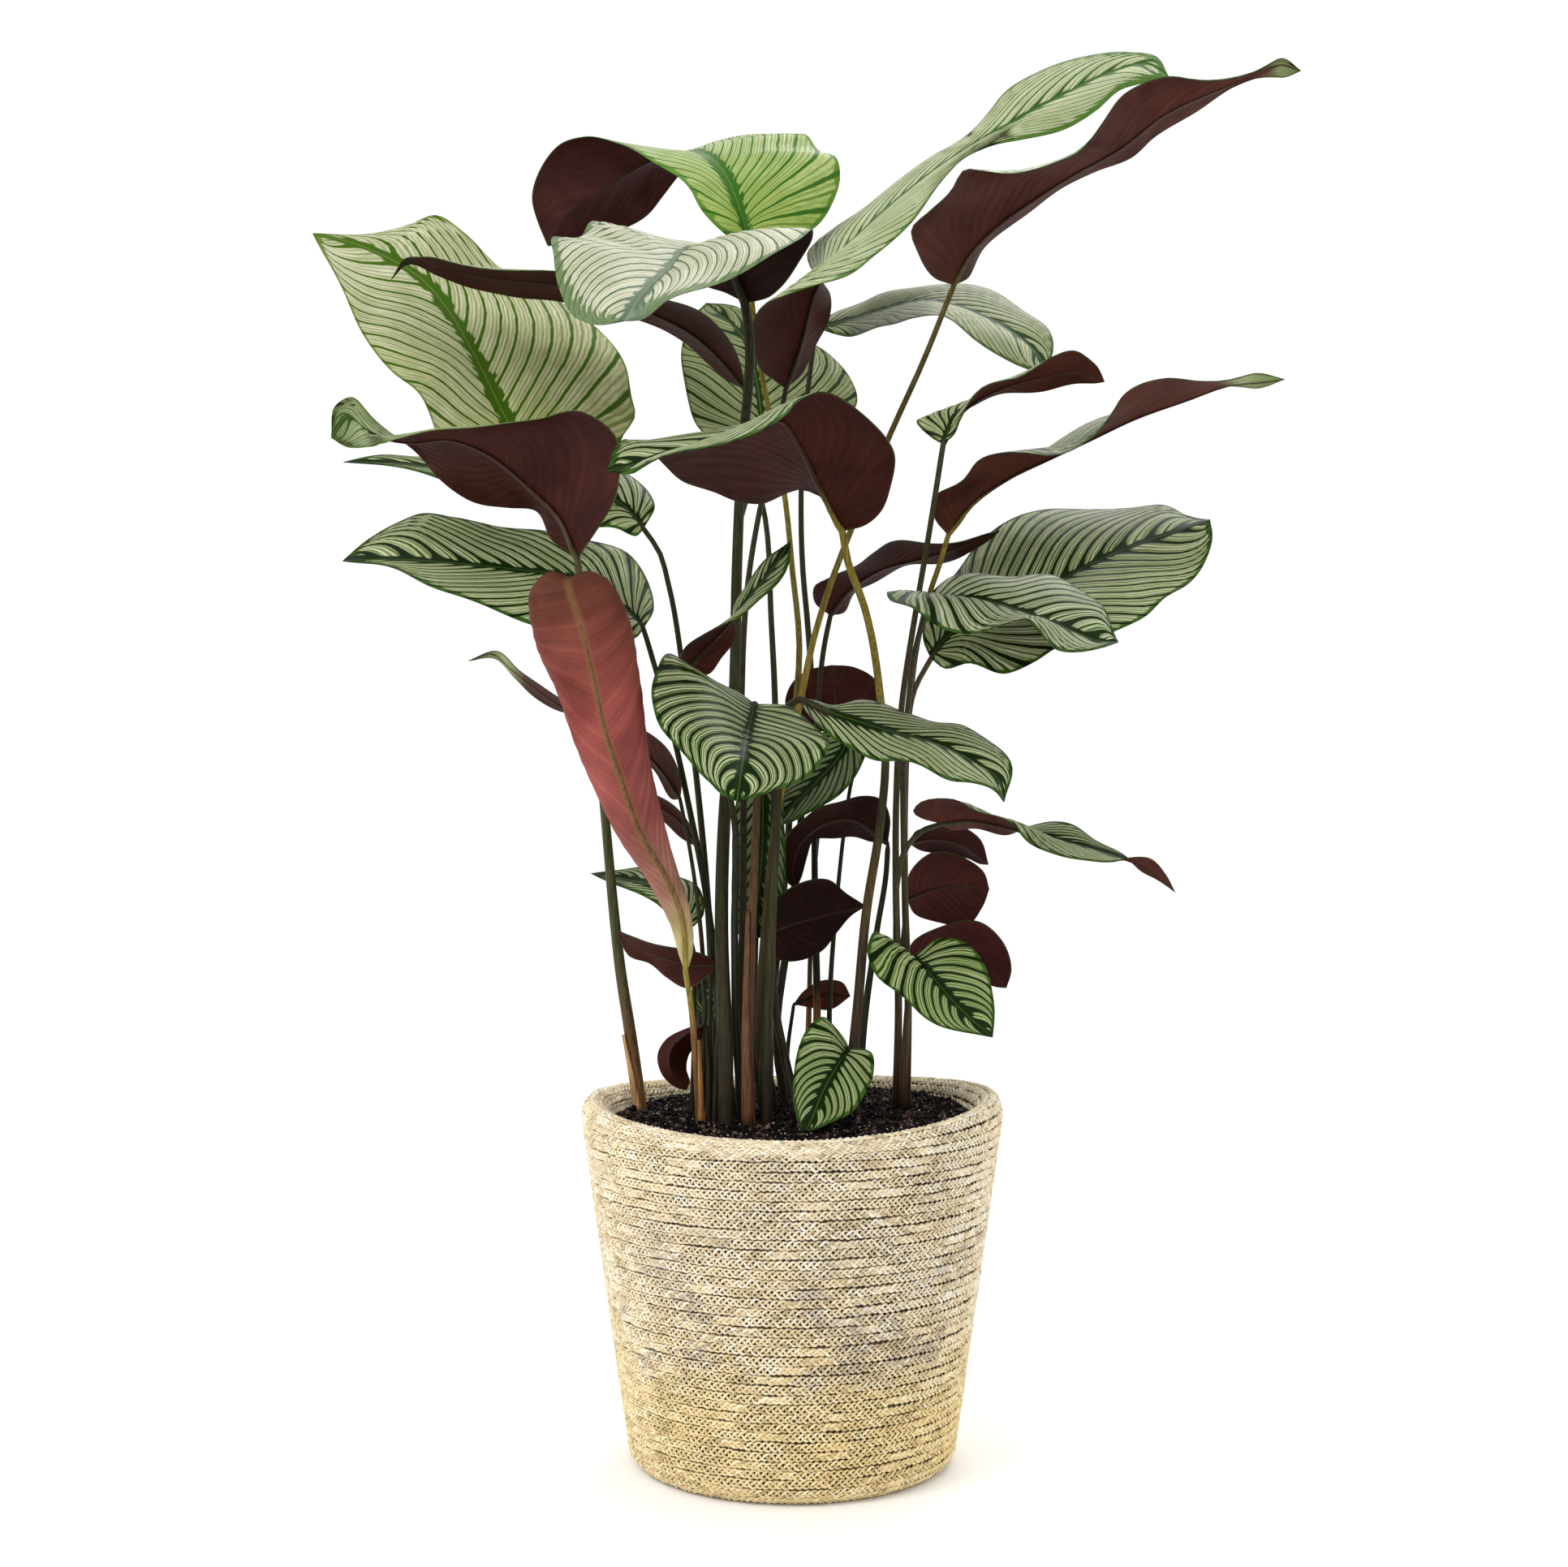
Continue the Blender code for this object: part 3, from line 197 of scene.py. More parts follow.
# The basket's outline, from the middle of the bottom up the side and over the rim to the mouth
shoulder = RIM_HEIGHT - LIP_DROP
foot_centre = FOOT_RADIUS + FLARE * FOOT_ROUND - FOOT_ROUND * math.hypot(1, FLARE)
skin = np.vstack([
    [(0, 0)],
    arc((foot_centre, FOOT_ROUND), (FOOT_ROUND, FOOT_ROUND), -90, -math.degrees(math.atan(FLARE)), 9),
    arc((CREST_RADIUS, shoulder), (FOOT_RADIUS + FLARE * shoulder - CREST_RADIUS, LIP_DROP), 0, 90, 9),
    arc((CREST_RADIUS, MOUTH_HEIGHT), (CREST_RADIUS - MOUTH_RADIUS, RIM_HEIGHT - MOUTH_HEIGHT), 90, 180, 9)[1:],
])
skin_length = np.concatenate([[0], np.cumsum(np.linalg.norm(np.diff(skin, axis=0), axis=1))])


def on_basket(along, angle, out):
    """Places on the basket's face, along its outline from the middle of the bottom, round it and out from it,
    and the face's outward direction there."""
    step = 0.002
    radius, height = (np.interp(along, skin_length, skin[:, k]) for k in (0, 1))
    near = np.clip(along, step, skin_length[-1] - step)
    ahead = [np.interp(near + step, skin_length, skin[:, k]) - np.interp(near - step, skin_length, skin[:, k])
             for k in (0, 1)]
    size = np.hypot(*ahead)
    out_radius, out_height = ahead[1] / size, -ahead[0] / size
    radius = radius + out * out_radius
    height = height + out * out_height + rim_lift(angle, height)
    place = np.stack([radius * np.cos(angle), radius * np.sin(angle), height], axis=-1)
    normal = np.stack([out_radius * np.cos(angle), out_radius * np.sin(angle), out_height + 0 * angle], axis=-1)
    return place, normal


# Each strand swings across its row by a sine of its turn, and goes over and under by a sine of twice it. The
# three strands of a row are a third of a turn apart. Where a row is calm they run nearly straight and wide.
random = np.random.default_rng(11)
row_from = skin_length[1] - 0.5 * ROW
rows = np.arange(row_from, skin_length[-1] + ROW / 3, ROW)
angle = np.linspace(0, 2 * math.pi, PLAIT_SAMPLES, endpoint=False)[None, None]
girth = np.interp(rows, skin_length, skin[:, 0])[:, None, None]
turns = np.round(2 * math.pi * girth / PLAIT_TURN)
third = np.arange(3)[None, :, None]
phase = turns * angle + 2 * math.pi * (third / 3 + random.random((len(rows), 1, 1)))


def drift(size, *waves, strands=3):
    """A slow random wander round each strand, or round the whole row: a few sines with random phases."""
    return size * sum(np.sin(k * angle + 2 * math.pi * random.random((len(rows), strands, 1))) for k in waves)


wander = drift(ROW_DRIFT, 5, strands=1)
calm = np.clip(drift(0.8, 7, 12, 21)[:, :1] - 0.4, 0, 1)
swing = SWING * (1 - CALM_SWING * calm + drift(SWING_DRIFT, 17, 43))
centre = rows[:, None, None] + swing * np.sin(phase) + wander + drift(STRAND_DRIFT, 23, 41)
depth = RISE * np.sin(2 * phase) + drift(RISE_DRIFT, 17, 31, 59) - RISE - STRAND[:, 1].max() + PROUD
line, normal = on_basket(centre, angle + 0 * phase, depth)
ahead = np.roll(line, -1, axis=2) - np.roll(line, 1, axis=2)
across = np.cross(normal, ahead)
across /= np.linalg.norm(across, axis=-1, keepdims=True)
thickness = (1 + CALM_THICKNESS * calm + drift(THICKNESS_DRIFT, 29, 67, 97))[..., None, None]
tube = line[..., None, :] + thickness * (across[..., None, :] * STRAND[:, :1] + normal[..., None, :] * STRAND[:, 1:])
tube[..., 2] = np.maximum(tube[..., 2], 0)  # the lowest rows are pressed flat on the table

seagrass, tree = finish("dried_seagrass_plait")
place = node(tree, "TexCoord", out="Object")
height = node(tree, "SeparateXYZ", (place,), out=2)
lengthwise, strand, from_ridge = (node(tree, "Attribute", out="Fac", attribute_name=name)
                                  for name in ("lengthwise", "strand", "breadth"))
# Lengths of about 20 mm differ in colour, and patches of 70 mm are yellower, most of all low down
fed_along = node(tree, "Math", (lengthwise, 1 / FED_LENGTH), operation="MULTIPLY")
fed = node(tree, "CombineXYZ", (fed_along, strand))
fed = node(tree, "TexNoise", {"Vector": fed, "Scale": 1.0, "Detail": 1.0})
straw = node(tree, "ValToRGB", (fed,), stops=((0.30, "#cdbf9e"), (0.42, "#eee0be"), (0.54, "#fdf1d6"),
                                              (0.66, "#fffcee")))
patch = node(tree, "TexNoise", {"Vector": place, "Scale": 14.0, "Detail": 2.0})
patch = node(tree, "MapRange", (patch, 0.42, 0.62, 0.0, 0.20))
low = node(tree, "MapRange", (height, 0.115, 0.040, 0.0, 0.65))
warm = node(tree, "Math", (low, patch), operation="ADD", use_clamp=True)
straw = node(tree, "Mix", {0: warm, 6: straw, 7: "#fff4cd"}, out=2, data_type="RGBA", blend_type="MULTIPLY")
# Some lengths half-way up, in patches of 40 mm, are grey-mauve
over_foot = node(tree, "MapRange", (height, 0.055, 0.090, 0.0, 1.0), interpolation_type="SMOOTHSTEP")
under_rim = node(tree, "MapRange", (height, 0.120, 0.165, 1.0, 0.35), interpolation_type="SMOOTHSTEP")
patch = node(tree, "TexNoise", {"Vector": place, "Scale": 24.0, "Detail": 2.0})
length = node(tree, "Math", (strand, 60.0), operation="ADD")
length = node(tree, "CombineXYZ", (length, fed_along))
length = node(tree, "TexNoise", {"Vector": length, "Scale": 1.0, "Detail": 1.0})
patch = node(tree, "Math", (patch, length), operation="ADD")
patch = node(tree, "MapRange", (patch, 1.02, 1.20, 0.0, 0.55))
grey = node(tree, "Math", (over_foot, under_rim), operation="MULTIPLY")
grey = node(tree, "Math", (grey, patch), operation="MULTIPLY")
straw = node(tree, "Mix", {0: grey, 6: straw, 7: "#a59b98"}, out=2, data_type="RGBA")
# Fibres 0.4 mm apart and about 8 mm long are drawn along the strand
along = node(tree, "Math", (lengthwise, 120.0), operation="MULTIPLY")
across_it = node(tree, "Math", (from_ridge, 1 / FIBRE), operation="MULTIPLY")
fibre = node(tree, "CombineXYZ", (along, across_it, strand))
fibre = node(tree, "TexNoise", {"Vector": fibre, "Scale": 1.0, "Detail": 2.0})
shade = node(tree, "ValToRGB", (fibre,), stops=((0.30, "#cabca0"), (0.58, "#ffffff")))
straw = node(tree, "Mix", {0: 0.8, 6: straw, 7: shade}, out=2, data_type="RGBA", blend_type="MULTIPLY")
# Dust and shade darken its edges where it dips under the others
dip = node(tree, "Math", (from_ridge,), operation="ABSOLUTE")
dip = node(tree, "MapRange", (dip, 0.0007, 0.00098, 0.0, 0.6))
straw = node(tree, "Mix", {0: dip, 6: straw, 7: "#55462c"}, out=2, data_type="RGBA")
bump = node(tree, "Bump", {"Strength": 0.5, "Distance": 0.0003, "Height": fibre})
shell = node(tree, "BsdfPrincipled", {"Base Color": straw, "Roughness": 0.85, "Normal": bump})
node(tree, "OutputMaterial", (shell,))

section = len(STRAND)
one = net(PLAIT_SAMPLES, section, ring=True)[:, ::-1]
shape = (len(rows), 3, PLAIT_SAMPLES, section)
strand_values = {"lengthwise": (girth * angle)[..., None], "breadth": STRAND[:, 0],
                 "strand": np.arange(len(rows) * 3).reshape(-1, 3, 1, 1) * 7.3}
for name, chosen in zip(("lower", "middle", "upper"), np.array_split(np.arange(len(rows)), 3)):
    faces = repeated(one, 3 * len(chosen), PLAIT_SAMPLES * section)
    plait = build("basket_plait_" + name, tube[chosen], [faces], [seagrass],
                  **{key: np.broadcast_to(value, shape)[chosen].ravel() for key, value in strand_values.items()})
    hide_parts("basket")

# The inner wall is the same seagrass, pressed, with painted shade: up its side it is coloured near black for the
# shade of the plait over it. It closes the holes, makes the flat bottom, and stands on the table.
outer = row_from - 0.6 * ROW
reach = np.concatenate([[0.0005, 0.03, 0.06, outer], np.linspace(row_from, skin_length[-1], 60)])
turn = np.linspace(0, 2 * math.pi, WALL_SIDES, endpoint=False)
back = np.where(reach > outer, -WALL_BACK, 0.0)
back[-1] = -0.0002
face, _ = on_basket(reach[:, None] + 0 * turn, turn[None] + 0 * reach[:, None], back[:, None])
inner = np.array([(inside(h), h) for h in np.linspace(MOUTH_HEIGHT - 0.001, FLOOR, 6)] + [(0.0005, FLOOR)])
wall = np.concatenate([face, turned(inner, turn)])

pressed, tree = finish("pressed_seagrass")
place = node(tree, "TexCoord", out="Object")
height = node(tree, "SeparateXYZ", (place,), out=2)
# Coiled rows 5.7 mm apart on the bottom, where no plait lies over the wall, with a grain of 2.5 mm on them. A
# wave texture repeats at 2 pi / 20 of its scale.
rings = node(tree, "TexWave", {"Vector": place, "Scale": 1 / ROW / 20 * 2 * math.pi, "Distortion": 1.5,
                               "Detail": 2.0, "Detail Scale": 20.0}, wave_type="RINGS", rings_direction="Z")
grain = node(tree, "TexNoise", {"Vector": place, "Scale": 400.0, "Detail": 3.0})
grain = node(tree, "Math", (grain, rings), operation="MULTIPLY")
# Painted shade: near black wherever the plait covers the wall and shows it through its holes; only the underside on
# the table keeps a straw colour
dark = node(tree, "ValToRGB", (grain,), stops=((0.1, "#1c140b"), (0.5, "#43371f")))
bottom = node(tree, "ValToRGB", (grain,), stops=((0.1, "#8a7a58"), (0.6, "#cdbb90")))
below = node(tree, "MapRange", (height, 0.0002, 0.0012, 1.0, 0.0))
colour = node(tree, "Mix", {0: below, 6: dark, 7: bottom}, out=2, data_type="RGBA")
bump = node(tree, "Bump", {"Strength": 0.6, "Distance": 0.0006, "Height": grain})
shell = node(tree, "BsdfPrincipled", {"Base Color": colour, "Roughness": 0.9, "Normal": bump})
node(tree, "OutputMaterial", (shell,))
wall = build("basket_wall", wall, closed(len(wall), WALL_SIDES), [pressed])
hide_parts("basket")

# The liner is a thin moulded plastic pot between the seagrass and the wet soil. It stays as the CAD made it,
# in matt black polypropylene, and hardly shows.
polypropylene, tree = finish("moulded_polypropylene")
place = node(tree, "TexCoord", out="Object")
# The grain of a spark-eroded mould, 0.1 mm wide, is drawn 0.7 mm wide to show at all
spark = node(tree, "TexNoise", {"Vector": place, "Scale": 1500.0})
bump = node(tree, "Bump", {"Strength": 0.2, "Distance": 0.0001, "Height": spark})
colour = node(tree, "ValToRGB", (spark,), stops=((0.3, "#161615"), (0.7, "#1f1f1e")))
shell = node(tree, "BsdfPrincipled", {"Base Color": colour, "Roughness": 0.5, "Normal": bump})
node(tree, "OutputMaterial", (shell,))
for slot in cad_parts["liner"].material_slots:
    slot.material = polypropylene

# Potting soil is peat and bark, near black when wet, with pale grains of pumice and brown bits of bark, 1 to
# 4 mm across. The brightest grains are partly a painted highlight, standing in for the glints of the wet soil. It
# fills the liner to just under the rim, a little higher at the back and on the right.
LINER = 0.0012
LINER_TOP = 0.200
GAP = 0.0003
SOIL_HEIGHT = 0.2095
SOIL_TO_BACK = 0.030
SOIL_TO_RIGHT = 0.020
SOIL_RINGS = 84
SOIL_SIDES = 240
LUMPS = ((0.014, 0.0013), (0.005, 0.0008), (0.002, 0.0005))  # size and height
CRUMBS = 3600
LARGE_CRUMBS = 60
LONG_CRUMBS = 720
GRAINS = 2400
CRUMB_LIFT = 0.35  # how far a crumb's middle lies above the soil, in its own radius


def soil_height(x, y):
    return SOIL_HEIGHT + SOIL_TO_RIGHT * x + SOIL_TO_BACK * y


def rough(x, y, size, seed):
    """Smooth random heights from -1 to 1: seeded values on a square grid of that size, eased in between."""
    values = np.random.default_rng(seed).uniform(-1, 1, (256, 256))
    u, v = np.asarray(x) / size + 128, np.asarray(y) / size + 128
    i, j = np.floor(u).astype(int), np.floor(v).astype(int)
    u, v = u - i, v - j
    u, v = u * u * (3 - 2 * u), v * v * (3 - 2 * v)
    i, j = i % 255, j % 255
    return ((values[i, j] * (1 - u) + values[i + 1, j] * u) * (1 - v)
            + (values[i, j + 1] * (1 - u) + values[i + 1, j + 1] * u) * v)


def lumpy_soil(x, y):
    """The soil's height with its lumps, which flatten out at the rim."""
    free = np.clip((MOUTH_RADIUS - np.hypot(x, y)) / 0.008, 0, 1)
    lumps = sum(height * rough(x, y, size, seed) for seed, (size, height) in enumerate(LUMPS, 1))
    return soil_height(x, y) + lumps * (0.3 + 0.7 * free)


reach = np.linspace(0.0004, MOUTH_RADIUS - 0.0006, SOIL_RINGS)[:, None]
turn = np.linspace(0, 2 * math.pi, SOIL_SIDES, endpoint=False)[None]
x, y = reach * np.cos(turn), reach * np.sin(turn)
side = np.array([(inside(LINER_TOP) - LINER - 2 * GAP, LINER_TOP - GAP), (FLOOR_RADIUS - 0.004, FLOOR + 0.002)])
plug = np.concatenate([np.stack([x, y, lumpy_soil(x, y)], axis=-1), turned(side, turn)])

peat, tree = finish("wet_peat")
place = node(tree, "TexCoord", out="Object")
# Crumbs of 2.4 mm with finer grit on them, and here and there a brown bit of bark, 1.5 mm wide
fine = node(tree, "TexNoise", {"Vector": place, "Scale": 420.0, "Detail": 4.0, "Roughness": 0.65})
dark = node(tree, "ValToRGB", (fine,), stops=((0.35, "#040202"), (0.55, "#0d0706"), (0.72, "#231612")))
bits = node(tree, "TexVoronoi", {"Vector": place, "Scale": 650.0}, out="Color")
bits = node(tree, "SeparateXYZ", (bits,))
bits = node(tree, "MapRange", (bits, 0.92, 0.94, 0.0, 0.8))
colour = node(tree, "Mix", {0: bits, 6: dark, 7: "#84695a"}, out=2, data_type="RGBA")
bump = node(tree, "Bump", {"Strength": 0.9, "Distance": 0.0008, "Height": fine})
shell = node(tree, "BsdfPrincipled", {"Base Color": colour, "Roughness": 0.8, "Specular IOR Level": 0.06,
                                      "Normal": bump})
node(tree, "OutputMaterial", (shell,))
plug = build("soil_top", plug, closed(len(plug), SOIL_SIDES, -1), [peat])
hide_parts("soil")

# Loose crumbs and grains lie half sunk in it: flattened, turned twenty-faced lumps, set down evenly
golden = (1 + math.sqrt(5)) / 2
lump = np.array([(-1, golden, 0), (1, golden, 0), (-1, -golden, 0), (1, -golden, 0)]) / math.hypot(1, golden)
lump = np.concatenate([np.roll(lump, k, axis=1) for k in range(3)])
lump_faces = np.array([(0, 11, 5), (0, 5, 1), (0, 1, 7), (0, 7, 10), (0, 10, 11), (1, 5, 9), (5, 11, 4), (11, 10, 2),
                       (10, 7, 6), (7, 1, 8), (3, 9, 4), (3, 4, 2), (3, 2, 6), (3, 6, 8), (3, 8, 9), (4, 9, 5),
                       (2, 4, 11), (6, 2, 10), (8, 6, 7), (9, 8, 1)])
random = np.random.default_rng(5)
count = CRUMBS + GRAINS
reach = (MOUTH_RADIUS - 0.002) * np.sqrt(random.random(count))
turn = 2 * math.pi * random.random(count)
x, y = reach * np.cos(turn), reach * np.sin(turn)
small = np.arange(count) >= CRUMBS
size = np.where(small, random.uniform(0.0004, 0.0009, count), random.uniform(0.0006, 0.0017, count))
size[:LARGE_CRUMBS] *= 1.7
shape = size[:, None] * random.uniform(0.55, 1.3, (count, 3))
shape[:LONG_CRUMBS, 0] *= 1.9
facing = np.linalg.qr(random.normal(size=(count, 3, 3)))[0]
facing *= np.linalg.det(facing)[:, None, None]
uneven = 1 + 0.22 * random.normal(size=(count, 12, 1)).clip(-1.5, 1.5)
lumps = np.einsum("nij,nkj->nki", facing, lump[None] * uneven * shape[:, None])
lumps += np.stack([x, y, lumpy_soil(x, y) + size * CRUMB_LIFT], axis=-1)[:, None]
# The small grains are pale pumice, and their brightest tones are partly a painted highlight for the soil's glints
tone = np.where(small, 0.5 + 0.5 * random.random(count) ** 0.8, random.uniform(0, 0.8, count))

crumb, tree = finish("bark_and_pumice")
place = node(tree, "TexCoord", out="Object")
# Each is mottled at 1.1 mm
fine = node(tree, "TexNoise", {"Vector": place, "Scale": 900.0, "Detail": 2.0})
colour = node(tree, "Attribute", out="Fac", attribute_name="tone")
colour = node(tree, "ValToRGB", (colour,), stops=((0.0, "#030202"), (0.50, "#0d0806"), (0.64, "#271a15"),
                                                  (0.78, "#71574b"), (0.90, "#c2aba0"), (0.975, "#f4ece6")))
shade = node(tree, "ValToRGB", (fine,), stops=((0.3, "#8c8580"), (0.7, "#ffffff")))
colour = node(tree, "Mix", {0: 1.0, 6: colour, 7: shade}, out=2, data_type="RGBA", blend_type="MULTIPLY")
bump = node(tree, "Bump", {"Strength": 0.5, "Distance": 0.0003, "Height": fine})
shell = node(tree, "BsdfPrincipled", {"Base Color": colour, "Roughness": 0.7, "Specular IOR Level": 0.1,
                                      "Normal": bump})
node(tree, "OutputMaterial", (shell,))
crumbs = build("soil_crumbs", lumps, [repeated(lump_faces, count, 12)], [crumb], tone=np.repeat(tone, 12))
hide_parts("soil")

# Each leaf is one grown piece: a round stalk that stands in the soil, thins upwards and runs on as the midrib
# under a thin blade. The blade puffs up between its veins and ripples along its edge.
ROOT_HEIGHT = 0.170  # of a stalk's lower end, in the soil
SPREAD = 0.7  # how much further front and back the crown opens than the stalks stand
SPREAD_FROM = 0.24  # the height where that begins
SPREAD_FULL = 0.60  # the height from which on it is full
BLADE = 0.0005  # its thickness
BULGE = 0.06  # of the reach from midrib to edge
RIPPLE_REACH = 0.020  # a narrower blade ripples less
RIPPLE_PHASE = 0.3  # of a turn, ahead on one edge and behind on the other
TAPER = 1.5  # the power at which a stalk thins upwards
STALK_POINTS = 39
RIB_POINTS = 30
RIB_ENDS = (0.002, 0.985)  # along the blade
RIB_THINNING = 0.85  # by how much the rib is thinner at the tip
RIB_FLATNESS = 0.55  # its height over its width
THINNEST = 0.0003  # its least radius
VEIN_LEAN = 1.75  # how far forward a vein runs from midrib to edge, over the blade's reach
MOST_LEAN = 0.46  # of the blade's length
VEIN_LEVEL = 0.65  # how much of an edge's place is its nearest point on the midrib, not its share of the edge
BASE_ROWS = 0.05  # of the blade's length, where the veins fan out of its base
FIRST_ROW = 0.003  # as far from the base as the last row is from the tip
STRIPES = 7  # on a leaf of no length, and one more for each gap
STRIPE_GAP = 0.0165
ROWS_A_STRIPE = 6
PLEAT_FROM_RIB = 0.004  # pleats are full this far from the midrib
PLEAT_FROM_EDGE = 0.006  # and this far from the edge
SHEATH_ROWS = 14
SHEATH_COLUMNS = 7
SHEATH = 0.0004  # its thickness
SHEATH_BEND = 1.3  # to each side at the foot, in radians
SHEATH_LOOSE = 0.0010  # at its top
# A stalk's radii at the blade and at the soil, the height and number of ripples, the height of the pleats, and
# the mesh's columns on half a blade and round a stalk
LARGE = {"neck": 0.0017, "base": 0.0028, "ripple": 0.0015, "waves": 3.0, "pleat": 0.0002, "half": 11, "sides": 12}
SMALL = {"neck": 0.0012, "base": 0.0020, "ripple": 0.0008, "waves": 2.0, "pleat": 0.00014, "half": 8, "sides": 9}


def seen(stations):
    """Places of stations: mm to the right and up where they meet the plane y = 0 as seen from VIEW, then
    mm behind that plane along the same sight line, which grow by SPREAD towards the crown."""
    right, up, back = np.array(stations, float).T * MM
    back *= 1 + SPREAD * np.clip((up - SPREAD_FROM) / (SPREAD_FULL - SPREAD_FROM), 0, 1)
    on_plane = np.stack([right, 0 * right, up], axis=1)
    return VIEW + (on_plane - VIEW) * (1 - back / VIEW[1])[:, None]


def unit(vectors):
    return vectors / np.maximum(np.linalg.norm(vectors, axis=-1, keepdims=True), 1e-12)


def smooth(points, at):
    """Places at the fractions `at` along a curve of cubic Hermite pieces through the points."""
    points, at = np.asarray(points, float), np.asarray(at, float)
    gap = np.linalg.norm(np.diff(points, axis=0), axis=1)
    knot = np.concatenate([[0], np.cumsum(gap)])
    slope = np.diff(points, axis=0) / gap[:, None]
    between = (slope[:-1] * gap[1:, None] + slope[1:] * gap[:-1, None]) / (gap[1:] + gap[:-1])[:, None]
    turn = np.vstack([slope[:1], between, slope[-1:]])
    where = np.clip(at, 0, 1) * knot[-1]
    i = np.clip(np.searchsorted(knot, where, "right") - 1, 0, len(gap) - 1)
    h = gap[i][..., None]
    x = (where - knot[i])[..., None] / h
    start = points[i] * (1 + 2 * x) * (1 - x) ** 2 + turn[i] * h * x * (1 - x) ** 2
    end = points[i + 1] * x * x * (3 - 2 * x) + turn[i + 1] * h * x * x * (x - 1)
    return start + end


def heading(points, at, step=0.02):
    return unit(smooth(points, at + step) - smooth(points, at - step))


def blade(form, t, s):
    """The blade's middle sheet at t along it and s across it, -1 at the left edge, 0 on the midrib and 1 at the
    right edge: straight out to each edge, plus a bulge between and a ripple towards the edge. Also its reach
    from midrib to edge."""
    mid = smooth(form["mid"], t)
    side = np.where(s < 0, -1, 1)[..., None]
    left, right = (smooth(np.vstack([form["mid"][:1], form[edge], form["mid"][-1:]]), t) for edge in ("left", "right"))
    out = np.where(side < 0, left, right) - mid
    a = np.abs(s)[..., None]
    reach = np.linalg.norm(out, axis=-1, keepdims=True)
    up = unit(np.cross(side * out, heading(form["mid"], t)))
    wave = np.sin(2 * math.pi * (form["waves"] * t[..., None] + RIPPLE_PHASE * side))
    ripple = form["ripple"] * wave * np.minimum(1, reach / RIPPLE_REACH)
    return mid + a * out + (4 * a * (1 - a) * form["bulge"] * reach + a**2 * ripple) * up, reach[..., 0]


def along_veins(form, lean, count, s):
    """The blade's t where a line at each s meets each of its veins, count of them from base to tip, and the veins'
    own places on the midrib, as t and as a share of their number. A vein that leaves the midrib at u leans forward
    by lean * 2.6 sqrt(u) (1 - u) (0.85 a + 0.15 a a) at a = abs(s), measured on the midrib nearest to it, and fans
    back to the base where u is under BASE_ROWS."""
    fine = np.linspace(0, 1, 161)
    mid = smooth(form["mid"], fine)
    shift = lean * 2.6 * np.sqrt(fine) * (1 - fine)
    eased = np.hanning(33) / 16
    table = []
    for edge, chosen in (("left", s < 0), ("right", s >= 0)):
        rim = smooth(np.vstack([mid[:1], form[edge], mid[-1:]]), fine)
        nearest = np.argmin(np.linalg.norm(rim[:, None] - mid, axis=-1), axis=1) / (len(fine) - 1)
        nearest = np.convolve(np.pad(np.maximum.accumulate(nearest), len(eased) // 2, "edge"), eased, "valid")
        level = VEIN_LEVEL * nearest + (1 - VEIN_LEVEL) * fine
        level[0], level[-1] = 0, 1
        table += [np.interp(fine + shift * (0.85 * a + 0.15 * a * a), (1 - a) * fine + a * level, fine)
                  for a in np.abs(s)[chosen]]
    back = np.clip(1 - fine / BASE_ROWS, 0, 1)[:, None] ** 2
    table = np.stack(table, axis=1) * (1 - back) + fine[:, None] * back
    even = (2 * fine + table[:, 0] + table[:, -1]) / 4
    rows = np.linspace(FIRST_ROW, 1 - FIRST_ROW, count)
    return np.stack([np.interp(rows, even, column) for column in table.T], axis=1), np.interp(rows, even, fine), rows


def steps(stops, at):
    """Numbers or linear colours at places, from one hex value or from (place, number or hex value) pairs."""
    stops = ((0, stops),) if isinstance(stops, str) else stops
    places, values = zip(*stops)
    if isinstance(values[0], str):
        return np.stack([np.interp(at, places, channel) for channel in zip(*map(linear, values))], axis=-1)
    return np.interp(at, places, values)


